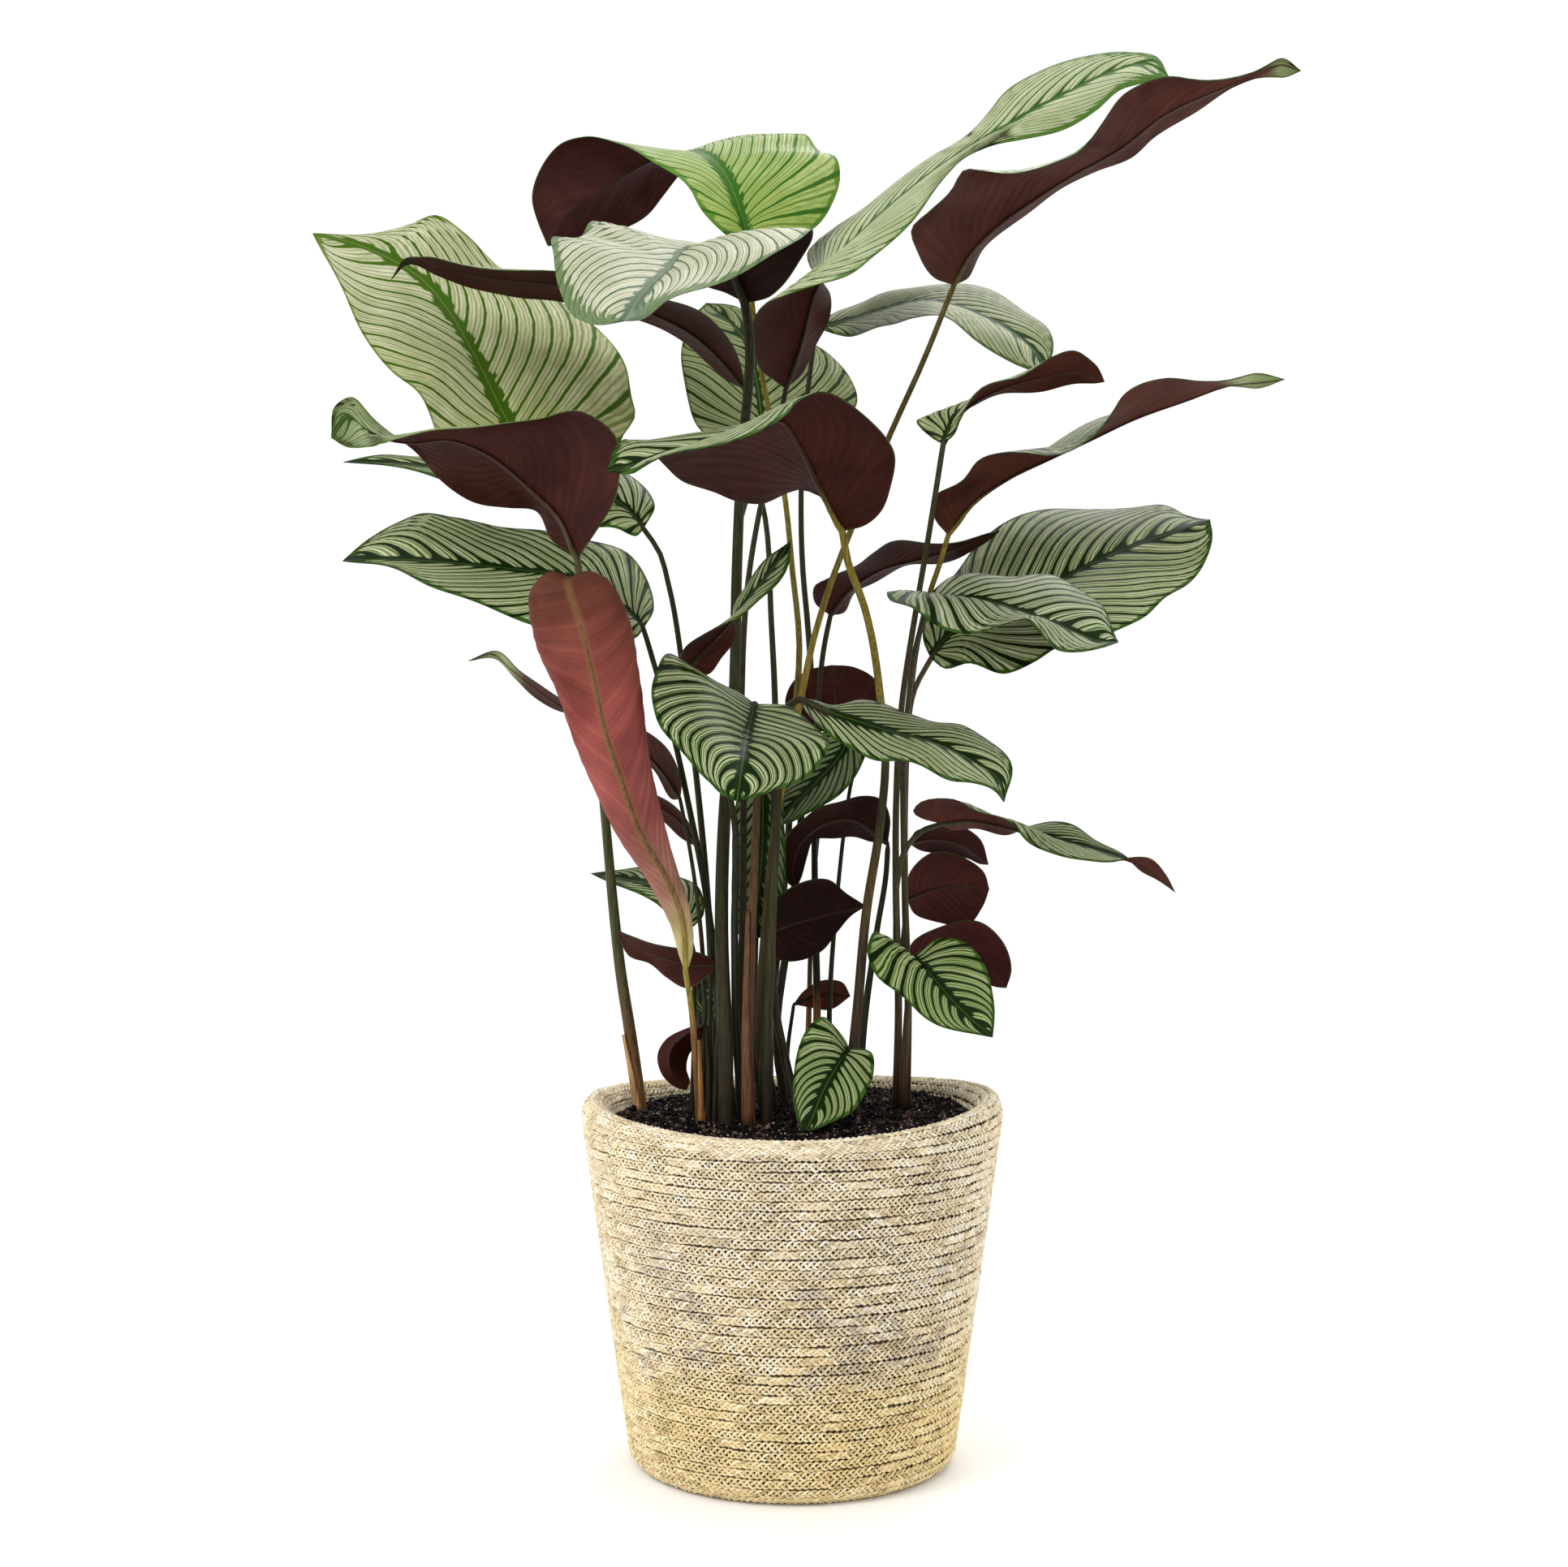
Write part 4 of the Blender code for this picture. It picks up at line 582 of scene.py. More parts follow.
def leaf(name, foot, stalk, mid, left, right, small=False, **own):
    """One leaf. foot is where it stands on the soil, in mm. The others are stations up the stalk, along the
    blade's midrib, and along its edges, left and right as seen on the upper face with the tip ahead. The rows
    of the blade's mesh follow its veins. own gives a leaf its own value of a size that its kind sets."""
    form = {"bulge": BULGE, **LOOK, **(SMALL if small else LARGE), **LOOKS.get(name, {}), **own}
    form["mid"], form["left"], form["right"] = seen(mid), seen(left), seen(right)
    half, neck, base = form["half"], form["neck"], form["base"]
    length = np.linalg.norm(np.diff(smooth(form["mid"], np.linspace(0, 1, 60)), axis=0), axis=1).sum()
    stripes = form.get("stripes", round(STRIPES + length / STRIPE_GAP))
    s = np.linspace(-1, 1, 2 * half + 1)
    widest = blade(form, np.linspace(0, 1, 41)[:, None], s[[0, -1]] + np.zeros((41, 1)))[1].max()
    t, u, vein = along_veins(form, min(VEIN_LEAN * widest / length, MOST_LEAN), stripes * ROWS_A_STRIPE, s)
    sheet, reach = blade(form, t, s + 0 * t)
    # The blade's upward direction, from places ahead, behind and to both sides
    inner = np.clip(t, 0.03, 0.985)
    back, ahead = (blade(form, inner + step, s + 0 * t)[0] for step in (-0.01, 0.01))
    one, other = (blade(form, inner, np.clip(s + step, -1, 1) + 0 * t)[0] for step in (-0.12, 0.12))
    up = unit(np.cross(other - one, ahead - back))
    from_rib, from_edge = s * reach, (1 - np.abs(s)) * reach
    fade = np.clip(np.minimum(np.abs(from_rib) / PLEAT_FROM_RIB, from_edge / PLEAT_FROM_EDGE), 0, 1)
    vein = stripes * vein[:, None] + 0 * s
    sheet = sheet - up * (form["pleat"] * fade * np.cos(2 * math.pi * vein))[..., None]
    loop = np.concatenate([sheet + up * BLADE / 2, (sheet - up * BLADE / 2)[:, ::-1]], axis=1)
    rows, around = loop.shape[:2]
    blade_faces, blade_ends = closed(rows, around)
    column = np.tile(np.arange(around), rows - 1)
    below = (column > 2 * half) & (column < around - 1)
    blade_faces[below] = np.roll(blade_faces[below], 1, axis=1)  # cut into triangles like the upper ones

    # The stalk, and on under the blade as a flattened rib
    x, y = np.array(foot) * MM
    stem = np.vstack([[(x, y, soil_height(x, y) + GAP)], seen(stalk), form["mid"][:1]])
    at = np.linspace(0, 1, STALK_POINTS + 1)[:-1]
    on = np.linspace(*RIB_ENDS, RIB_POINTS)
    centre_up = np.stack([np.interp(on, u, up[:, half, k]) for k in range(3)], axis=1)
    ahead = np.vstack([[(0, 0, 1.0)] * 2, heading(stem, at[1:], 0.01), heading(form["mid"], on)])
    above = np.vstack([np.repeat(centre_up[:1], STALK_POINTS + 1, axis=0), centre_up])
    above = unit(above - (above * ahead).sum(1, keepdims=True) * ahead)
    radius = np.concatenate([[base], neck + (base - neck) * (1 - at) ** TAPER,
                             np.maximum(neck * (1 - RIB_THINNING * on), THINNEST)])
    along_rib = np.concatenate([np.zeros(STALK_POINTS + 1), on])
    flat = 1 - (1 - RIB_FLATNESS) * np.clip(along_rib / 0.08, 0, 1)
    sunk = np.clip(along_rib / 0.05, 0, 1)
    line = np.vstack([[(x, y, ROOT_HEIGHT)], smooth(stem, at), smooth(form["mid"], on)])
    line = line - above * (radius * flat * sunk)[:, None]
    turn = np.linspace(0, 2 * math.pi, form["sides"], endpoint=False)[:, None]
    ring = np.cos(turn) * np.cross(ahead, above)[:, None] + np.sin(turn) * (above * flat[:, None])[:, None]
    tube = line[:, None] + radius[:, None, None] * ring
    tube_faces, tube_ends = (faces + rows * around for faces in closed(len(tube), form["sides"], -1))

    # What the finishes read. Stalk and rib have one colour, which comes in the place of all the blade's.
    climb = np.concatenate([[0], at, np.ones(RIB_POINTS)])
    tint = steps(form["stalk"], climb)
    tint += (steps(form["rib"], climb) - tint) * np.clip(along_rib / 0.2, 0, 1)[:, None]
    tint = np.repeat(tint, form["sides"], axis=0)
    t, vein, from_rib, from_edge = (np.hstack([each, each[:, ::-1]]) for each in (t, vein, from_rib, from_edge))
    values = {"vein": vein, "from_rib": from_rib, "from_edge": from_edge, "middle": steps(form["middle"], t),
              "margin": steps(form["margin"], t), "ink": form["ink"] + 0 * t}
    values = {key: np.concatenate([value.ravel(), np.zeros(len(tint))]) for key, value in values.items()}
    for key in ("pale", "green", "dark", "under"):
        colour = steps(form[key], t)
        if key == "green":
            colour[:, 2 * half + 1:] = steps(form["rib"], t[:, 2 * half + 1:])
        values[key] = np.concatenate([colour.reshape(-1, 4), tint])
    piece = build("leaf_" + name, np.vstack([loop.reshape(-1, 3), tube.reshape(-1, 3)]),
                  [np.vstack([blade_faces, tube_faces]), blade_ends, tube_ends],
                  [fresh_stalk, striped_upper, burgundy_lower],
                  np.concatenate([np.where(below, 2, 1), np.zeros(len(tube_faces), int), [1, 1, 0, 0]]), **values)
    piece.data.set_sharp_from_angle(angle=math.radians(60))
    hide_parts(name)
    if "sheath" in form:
        # A dry sheath: a thin strip bent round the foot of the stalk, narrower and looser upwards
        share, side, tint = form["sheath"]
        up_it = np.linspace(0, 1, SHEATH_ROWS)[:, None]
        bend = math.radians(side) + SHEATH_BEND * (1 - 0.75 * up_it) * np.linspace(-1, 1, SHEATH_COLUMNS)
        out = (neck + (base - neck) * (1 - share * up_it) ** TAPER) + GAP + SHEATH_LOOSE * up_it**2
        outwards = np.stack([np.cos(bend), np.sin(bend), 0 * bend], axis=-1)
        outer, inner = (smooth(stem, share * up_it) + (out + thick)[..., None] * outwards for thick in (SHEATH, 0))
        strip = np.concatenate([outer, inner[:, ::-1]], axis=1)
        skin = build("sheath_" + name, strip, closed(*strip.shape[:2]), [dry_sheath],
                     pale=np.tile(linear(tint), (strip[..., 0].size, 1)))
        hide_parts(name)


# The upper face is smooth and faintly waxy. Its pale bands are split by dark green stripes 8 to 11 mm apart,
# which widen into the midrib and the green edge, with three fine lines between them. A leaf's ink says how
# heavily it is marked.
LINES = 4  # to a stripe, which is one of them
OTHER_HALF = 50.37  # sets a leaf's left half apart in its random draws
DRAW_STEP = 0.31


def leaf_fields(tree):
    """What both faces share: the places, the vein's number, the distances from midrib and edge in mm, a random
    value for each stripe, for each fine line and for each narrow band between two lines, and the distances from
    a stripe and from a line, in their own spacing."""
    place = node(tree, "TexCoord", out="Object")
    vein, signed, edge = (node(tree, "Attribute", out="Fac", attribute_name=name)
                          for name in ("vein", "from_rib", "from_edge"))
    # The stripes waver a little, over lengths of 9 mm
    jitter = node(tree, "TexNoise", {"Vector": place, "Scale": 110.0, "Detail": 2.0})
    vein = node(tree, "Math", (jitter, 0.11, vein), operation="MULTIPLY_ADD")
    rib = node(tree, "Math", (signed,), operation="ABSOLUTE")
    rib, edge = (node(tree, "Math", (metres, 1000.0), operation="MULTIPLY") for metres in (rib, edge))
    half = node(tree, "Math", (signed, 0.0), operation="LESS_THAN")
    half = node(tree, "Math", (half, OTHER_HALF), operation="MULTIPLY")
    fine = node(tree, "Math", (vein, float(LINES)), operation="MULTIPLY")
    draws = []
    for value, whole in ((vein, "ROUND"), (fine, "ROUND"), (fine, "FLOOR")):
        number = node(tree, "Math", (value,), operation=whole)
        number = node(tree, "Math", (number, half), operation="ADD")
        number = node(tree, "Math", (number, DRAW_STEP * (1 + len(draws))), operation="ADD")
        draws.append(node(tree, "TexWhiteNoise", {1: number}, noise_dimensions="1D"))
    from_stripe, from_line = (node(tree, "Math", (value, 0.5), operation="PINGPONG") for value in (vein, fine))
    return place, vein, rib, edge, *draws, from_stripe, from_line


striped_upper, tree = finish("calathea_upper_face")
place, vein, rib, edge, stripe_draw, line_draw, band_draw, from_stripe, from_line = leaf_fields(tree)
ink, middle_width, margin_width = (node(tree, "Attribute", out="Fac", attribute_name=name)
                                   for name in ("ink", "middle", "margin"))
pale, green, dark = (node(tree, "Attribute", out="Color", attribute_name=name) for name in ("pale", "green", "dark"))
# Pale ground in clouds of 22 mm, tinged by turns, with streaks 0.7 mm wide and 10 mm long along the veins
cloud = node(tree, "TexNoise", {"Vector": place, "Scale": 45.0, "Detail": 3.0})
cloud = node(tree, "ValToRGB", (cloud,), stops=((0.35, "#dfe2cb"), (0.65, "#ffffff")))
colour = node(tree, "Mix", {0: 0.7, 6: pale, 7: cloud}, out=2, data_type="RGBA", blend_type="MULTIPLY")
tinge = node(tree, "Math", (band_draw, ink), operation="MULTIPLY")
tinge = node(tree, "Math", (tinge, 0.22), operation="MULTIPLY")
colour = node(tree, "Mix", {0: tinge, 6: colour, 7: green}, out=2, data_type="RGBA")
along = node(tree, "Math", (vein, 13.0), operation="MULTIPLY")
across_it = node(tree, "Math", (rib, 0.10), operation="MULTIPLY")
streak = node(tree, "CombineXYZ", (along, across_it))
streak = node(tree, "TexNoise", {"Vector": streak, "Scale": 1.0, "Detail": 1.0})
streak = node(tree, "ValToRGB", (streak,), stops=((0.35, "#c3c8a8"), (0.60, "#ffffff")))
colour = node(tree, "Mix", {0: 0.6, 6: colour, 7: streak}, out=2, data_type="RGBA", blend_type="MULTIPLY")
# Three fine lines, the middle one the strongest, fading by turns
width = node(tree, "Math", (line_draw, 0.10, 0.11), operation="MULTIPLY_ADD")
outer = node(tree, "Math", (width, 0.09), operation="ADD")
fine_line = node(tree, "MapRange", (from_line, width, outer, 1.0, 0.0), interpolation_type="SMOOTHSTEP")
strength = node(tree, "MapRange", (from_stripe, 0.33, 0.42, 0.34, 0.72))
strength = node(tree, "Math", (line_draw, 0.42, strength), operation="MULTIPLY_ADD")
heavy = node(tree, "Math", (ink, 0.8, 0.25), operation="MULTIPLY_ADD")
strength = node(tree, "Math", (strength, heavy), operation="MULTIPLY")
fine_line = node(tree, "Math", (fine_line, strength), operation="MULTIPLY")
line_colour = node(tree, "Mix", {0: 0.62, 6: green, 7: dark}, out=2, data_type="RGBA")
colour = node(tree, "Mix", {0: fine_line, 6: colour, 7: line_colour}, out=2, data_type="RGBA")
# Dark stripes, wider towards the midrib, with green shoulders
near_rib = node(tree, "MapRange", (rib, 0.0, 15.0, 1.0, 0.0))
near_rib = node(tree, "Math", (near_rib, 4.0), operation="POWER")
width = node(tree, "Math", (stripe_draw, 0.30, 0.16), operation="MULTIPLY_ADD")
width = node(tree, "Math", (near_rib, width, 0.075), operation="MULTIPLY_ADD")
width = node(tree, "Math", (width, ink, 0.018), operation="MULTIPLY_ADD")
outer = node(tree, "Math", (width, 0.045), operation="ADD")
stripe = node(tree, "MapRange", (from_stripe, width, outer, 1.0, 0.0), interpolation_type="SMOOTHSTEP")
shoulder = node(tree, "Math", (ink, 0.07, outer), operation="MULTIPLY_ADD")
shoulder = node(tree, "MapRange", (from_stripe, width, shoulder, 0.95, 0.0))
colour = node(tree, "Mix", {0: shoulder, 6: colour, 7: green}, out=2, data_type="RGBA")
# The green edge, where the bands end in points, and the green tip
to_stripe = node(tree, "Math", (from_stripe, -2.0, 1.0), operation="MULTIPLY_ADD")
to_stripe = node(tree, "Math", (to_stripe, 2.0), operation="POWER")
width = node(tree, "Math", (to_stripe, 1.5, band_draw), operation="MULTIPLY_ADD")
width = node(tree, "Math", (width, 0.8, 0.5), operation="MULTIPLY_ADD")
width = node(tree, "Math", (width, margin_width), operation="MULTIPLY")
outer = node(tree, "Math", (width, 1.0), operation="ADD")
margin = node(tree, "MapRange", (edge, width, outer, 1.0, 0.0))
edge_green = node(tree, "Mix", {0: 0.45, 6: green, 7: dark}, out=2, data_type="RGBA")
colour = node(tree, "Mix", {0: margin, 6: colour, 7: edge_green}, out=2, data_type="RGBA")
# The dark middle, from which the bands start at uneven distances
width = node(tree, "Math", (band_draw, 0.8, 0.6), operation="MULTIPLY_ADD")
width = node(tree, "Math", (width, middle_width), operation="MULTIPLY")
outer = node(tree, "Math", (width, 1.0), operation="ADD")
middle = node(tree, "MapRange", (rib, width, outer, 1.0, 0.0))
marked = node(tree, "Math", (stripe, middle), operation="MAXIMUM")
colour = node(tree, "Mix", {0: marked, 6: colour, 7: dark}, out=2, data_type="RGBA")
centre_line = node(tree, "MapRange", (rib, 0.25, 0.6, 0.55, 0.0))
colour = node(tree, "Mix", {0: centre_line, 6: colour, 7: green}, out=2, data_type="RGBA")
groove = node(tree, "Math", (fine_line, marked), operation="MAXIMUM")
bump = node(tree, "Bump", {"Strength": 0.35, "Distance": 0.0003, "Height": groove}, invert=True)
shell = node(tree, "BsdfPrincipled", {"Base Color": colour, "Roughness": 0.32, "Specular IOR Level": 0.1,
                                      "Normal": bump})
through = node(tree, "BsdfTranslucent", (colour, bump))
shell = node(tree, "MixShader", (0.2, shell, through))
node(tree, "OutputMaterial", (shell,))

# The lower face is matt and burgundy, in clouds of 33 mm, redder and browner by turns, with fine raised veins
# and an olive rim.
burgundy_lower, tree = finish("calathea_lower_face")
place, _, rib, edge, _, line_draw, band_draw, from_stripe, from_line = leaf_fields(tree)
under, rib_colour = (node(tree, "Attribute", out="Color", attribute_name=name) for name in ("under", "green"))
cloud = node(tree, "TexNoise", {"Vector": place, "Scale": 30.0, "Detail": 3.0})
cloud = node(tree, "ValToRGB", (cloud,), stops=((0.35, "#bdb2b0"), (0.65, "#ffffff")))
colour = node(tree, "Mix", {0: 0.8, 6: under, 7: cloud}, out=2, data_type="RGBA", blend_type="MULTIPLY")
red = node(tree, "Math", (from_stripe, band_draw), operation="MULTIPLY")
red = node(tree, "MapRange", (red, 0.0, 0.5, 0.9, 1.25))
colour = node(tree, "Mix", {0: 1.0, 6: colour, 7: red}, out=2, data_type="RGBA", blend_type="MULTIPLY")
ridge = node(tree, "MapRange", (from_line, 0.04, 0.20, 1.0, 0.0))
shade = node(tree, "Math", (ridge, line_draw), operation="MULTIPLY")
shade = node(tree, "MapRange", (shade, 0.0, 1.0, 1.0, 0.82))
colour = node(tree, "Mix", {0: 1.0, 6: colour, 7: shade}, out=2, data_type="RGBA", blend_type="MULTIPLY")
stain = node(tree, "MapRange", (rib, 0.6, 1.8, 0.55, 0.0))
colour = node(tree, "Mix", {0: stain, 6: colour, 7: rib_colour}, out=2, data_type="RGBA")
rim = node(tree, "MapRange", (edge, 0.3, 0.9, 0.6, 0.0))
colour = node(tree, "Mix", {0: rim, 6: colour, 7: "#4a4a26"}, out=2, data_type="RGBA")
bump = node(tree, "Bump", {"Strength": 0.3, "Distance": 0.0003, "Height": ridge})
shell = node(tree, "BsdfPrincipled", {"Base Color": colour, "Roughness": 0.6, "Specular IOR Level": 0.08,
                                      "Normal": bump})
through = node(tree, "BsdfTranslucent", (colour, bump))
shell = node(tree, "MixShader", (0.12, shell, through))
node(tree, "OutputMaterial", (shell,))

# The stalks are smooth and round, from dark olive to red-brown, with streaks 1.1 mm wide and 33 mm long.
fresh_stalk, tree = finish("calathea_stalk")
place = node(tree, "TexCoord", out="Object")
streaks = node(tree, "Mapping", {"Vector": place, "Scale": (900.0, 900.0, 30.0)})
streaks = node(tree, "TexNoise", {"Vector": streaks, "Scale": 1.0, "Detail": 2.0})
tint = node(tree, "Attribute", out="Color", attribute_name="pale")
shade = node(tree, "ValToRGB", (streaks,), stops=((0.3, "#8f877c"), (0.65, "#ffffff")))
colour = node(tree, "Mix", {0: 0.8, 6: tint, 7: shade}, out=2, data_type="RGBA", blend_type="MULTIPLY")
bump = node(tree, "Bump", {"Strength": 0.2, "Distance": 0.0002, "Height": streaks})
shell = node(tree, "BsdfPrincipled", {"Base Color": colour, "Roughness": 0.5, "Specular IOR Level": 0.15,
                                      "Normal": bump})
node(tree, "OutputMaterial", (shell,))

# Their sheaths dry to papery tan strips with ribs 0.9 mm apart.
dry_sheath, tree = finish("dry_leaf_sheath")
place = node(tree, "TexCoord", out="Object")
ribs = node(tree, "Mapping", {"Vector": place, "Scale": (1100.0, 1100.0, 40.0)})
ribs = node(tree, "TexNoise", {"Vector": ribs, "Scale": 1.0, "Detail": 3.0})
tint = node(tree, "Attribute", out="Color", attribute_name="pale")
shade = node(tree, "ValToRGB", (ribs,), stops=((0.3, "#7a6a58"), (0.65, "#ffffff")))
colour = node(tree, "Mix", {0: 0.9, 6: tint, 7: shade}, out=2, data_type="RGBA", blend_type="MULTIPLY")
bump = node(tree, "Bump", {"Strength": 0.4, "Distance": 0.0003, "Height": ribs})
shell = node(tree, "BsdfPrincipled", {"Base Color": colour, "Roughness": 0.7, "Specular IOR Level": 0.2,
                                      "Normal": bump})
node(tree, "OutputMaterial", (shell,))

# Colours of a leaf: the pale bands, the green shoulders and edge and the dark stripes above, the lower face and
# the rib under it, and the stalk from the soil to the blade. middle and margin are the widths of the dark middle
# and the green edge in mm. What changes along a blade or a stalk is given as (place, value) pairs. A sheath has
# the share of the stalk that it covers, the side that it stands on in degrees, and its colour.
OLIVE = ((0, "#2e2418"), (0.12, "#34301b"), (0.5, "#3b391c"), (1, "#33311c"))
GREEN = ((0, "#2b2a16"), (0.3, "#262b15"), (1, "#2f3319"))
BROWN = ((0, "#2c1b15"), (0.15, "#57402a"), (0.4, "#4b4226"), (1, "#3d3a20"))
REDDISH = ((0, "#6b452c"), (0.12, "#4f3320"), (0.4, "#5c3f28"), (1, "#55442a"))
YELLOW = ((0, "#3a2f1c"), (0.3, "#4c4520"), (0.6, "#83762c"), (1, "#8b7c2a"))
LOOK = {"ink": 1.0, "pale": "#e2e8bd", "green": "#527d28", "dark": "#18290b", "under": "#452019", "rib": "#3a2418",
        "stalk": OLIVE, "middle": ((0, 3.2), (1, 2.2)), "margin": ((0, 1.6), (0.92, 1.6), (1, 10))}
FAINT = {"ink": 0.42, "green": "#839a58", "dark": "#42602b", "middle": ((0, 2.2), (1, 1.5)),
         "margin": ((0, 0.7), (0.92, 0.7), (1, 6))}
LOOKS = {
    # Painted light: the backlit leaf's pale bands, greens and rib are coloured brighter and yellower, for the light
    # that shines through it from behind
    "backlit": {
        **FAINT, "ink": 0.55, "stripes": 17, "pale": ((0, "#d3d982"), (0.3, "#e6e6bb"), (1, "#ecead0")),
        "green": "#8ea047", "dark": "#466a17", "rib": "#8c9a45", "middle": ((0, 6.5), (0.7, 4.5), (1, 1.5))},
    "twisted_top": {
        **FAINT, "ink": 0.6, "pleat": 0.00012, "half": 17, "stalk": YELLOW, "under": "#4a2725", "dark": "#3a6d1d",
        "pale": ((0, "#b9d066"), (0.4, "#d3dca6"), (1, "#e6e8d2")), "green": "#74a035",
        "middle": ((0, 5), (0.6, 3.5), (1, 1.5)), "margin": ((0, 2.5), (0.5, 1.5), (0.9, 1), (1, 6))},
    "over_middle": {
        **FAINT, "ink": 0.55, "pale": "#ece8d3", "green": "#83985f", "dark": "#43603a", "under": "#2b1612",
        "middle": ((0, 2), (0.6, 2.5), (1, 4)), "margin": ((0, 0.8), (0.5, 1.5), (0.75, 5), (1, 10))},
    "long_top": {
        **FAINT, "ink": 0.65, "pale": "#e3e6c4", "green": "#6a9436", "dark": "#375c1f",
        "margin": ((0, 0.7), (0.5, 2), (0.8, 2.5), (1, 8))},
    "arching": {"ink": 0.75, "pale": "#e6e8c4", "green": "#6f9440", "dark": "#27451a"},
    "pale_back": {**FAINT, "ink": 0.75, "pale": "#cbd2a6", "dark": "#2c441c"},
    "folded_middle": {
        "pale": "#dde2be", "under": "#421f19",
        "stalk": ((0, "#3a2f1c"), (0.25, "#4a3a26"), (0.4, "#5a4a24"), (0.5, "#38351f"), (0.58, "#3c3820"),
                  (0.7, "#83762c"), (1, "#8b7c2a"))},
    "dark_left": {
        **FAINT, "pale": "#b4bf97", "under": "#421f1a", "sheath": (0.13, -150, "#c49a6a"),
        "stalk": ((0, "#9a6a40"), (0.12, "#62492b"), (0.28, "#4c4d2e"), (1, "#5a5133"))},
    "rolled_pink": {
        "slot": "young_leaf", "rib": ((0, "#b5a550"), (0.3, "#a17c42"), (1, "#7a5b3c")),
        "under": ((0, "#d2cc88"), (0.09, "#cdbf88"), (0.19, "#b58371"), (0.38, "#ab615a"), (0.62, "#9f504a"),
                  (0.86, "#7c4537"), (1, "#5f3a2c")),
        "stalk": ((0, "#6a4c31"), (0.5, "#7f5a38"), (1, "#9e903e")), "sheath": (0.55, -35, "#c08a50")},
    "thin_left": {"under": ((0, "#4a2820"), (0.75, "#4a2820"), (0.85, "#9aa676"), (1, "#6f8550"))},
    "long_dark_right": {
        "pleat": 0.00005, "under": ((0, "#562f25"), (0.84, "#562f25"), (0.88, "#a9b684"), (1, "#7c9a55")),
        "stalk": ((0, "#2c1b15"), (0.15, "#57402a"), (0.6, "#4b4226"), (0.84, "#4b4226"), (0.92, "#85752a"),
                  (1, "#8b7829"))},
    "dark_crossing": {"under": ((0, "#40211b"), (0.9, "#40211b"), (0.96, "#35452a"), (1, "#2d3d22"))},
    "short_dark_right": {"under": "#492526", "stalk": BROWN},
    "long_red_brown": {"under": "#562e28", "stalk": BROWN},
    "round_dark_upper": {"under": "#4f2824", "stalk": BROWN},
    "round_dark_lower": {"under": "#592c2d", "stalk": BROWN},
    "twisted_right": {"under": "#502a21", "stalk": BROWN},
    "big_right": {"stalk": REDDISH, "sheath": (0.2, -95, "#a9805a")},
    "long_dark_top": {
        "under": ((0, "#512a21"), (0.925, "#512a21"), (0.95, "#a3b07c"), (1, "#5d7f3a")),
        "stalk": ((0, "#3a2f1c"), (0.25, "#4c4520"), (0.42, "#95822c"), (0.6, "#85752b"), (0.75, "#5f5426"),
                  (1, "#5a4d25")), "sheath": (0.07, -80, "#b5683a")},
    "dark_behind": {
        "stalk": ((0, "#8a5a38"), (0.25, "#6b4a30"), (0.4, "#33351f"), (1, "#2f3320")),
        "sheath": (0.3, -100, "#b07d4e")},
    "curled_right": {"pale": "#e2e6c8", "stalk": BROWN},
    "striped_low_right": {"ink": 1.2, "pale": "#d0dda0", "stalk": BROWN},
    "on_soil": {"ink": 1.2, "pale": "#d6e0ac"},
    "facing": {"ink": 1.25, "stalk": REDDISH, "sheath": (0.5, -130, "#6f4b30")},
    "striped_left": {"stalk": GREEN},
    "pointed": {"stalk": GREEN},
    "hanging_striped": {"ink": 1.3, "pale": "#b6c096", "stalk": GREEN},
    "grazing_striped": {"ink": 1.2, "pale": "#b3bb9c"},
    "dark_reaching_left": {
        "under": "#40211c",
        "stalk": ((0, "#3a281c"), (0.1, "#84592f"), (0.19, "#84592f"), (0.22, "#2c2418"), (1, "#332c1a"))},
    "dark_centre": {"under": "#2f1b19"},
    "wide_dark": {"under": "#341c1a"},
    # Painted light: this small leaf's lower face, which hangs in shade, is coloured far lighter than the burgundy of
    # the others
    "small_dark_back": {"under": "#7a4638"},
}

# The thirty-nine leaves: where each stands on the soil, then its stations up the stalk, along the midrib and
# along the left and right edges, as seen reads them, in mm.
leaf("backlit", (-56, 28),
     [(-56, 252, 30), (-59, 297, 36), (-70.5, 342, 42), (-88, 392, 50), (-108, 447, 60),
      (-127, 497, 68), (-143, 552, 76)],
     [(-155.5, 597, 80), (-178, 642, 85), (-198, 682, 92), (-213, 707, 95), (-228, 724.5, 95),
      (-245.5, 736, 93), (-268, 746, 90), (-295.5, 753, 85)],
     [(-173, 591, 76), (-193, 597, 74), (-212, 617, 72), (-230.5, 654.5, 72), (-245.5, 666, 74),
      (-263, 689.5, 76), (-278, 719.5, 80)],
     [(-135.5, 593, 90), (-112, 609.5, 100), (-104, 628.5, 106), (-97, 639.5, 108), (-99.5, 652, 112),
      (-103, 671, 116), (-120.5, 695.5, 122), (-150.5, 716, 124), (-183, 733, 120), (-202, 753, 115),
      (-218, 764.5, 112), (-238, 758, 104), (-268, 751.5, 94)])
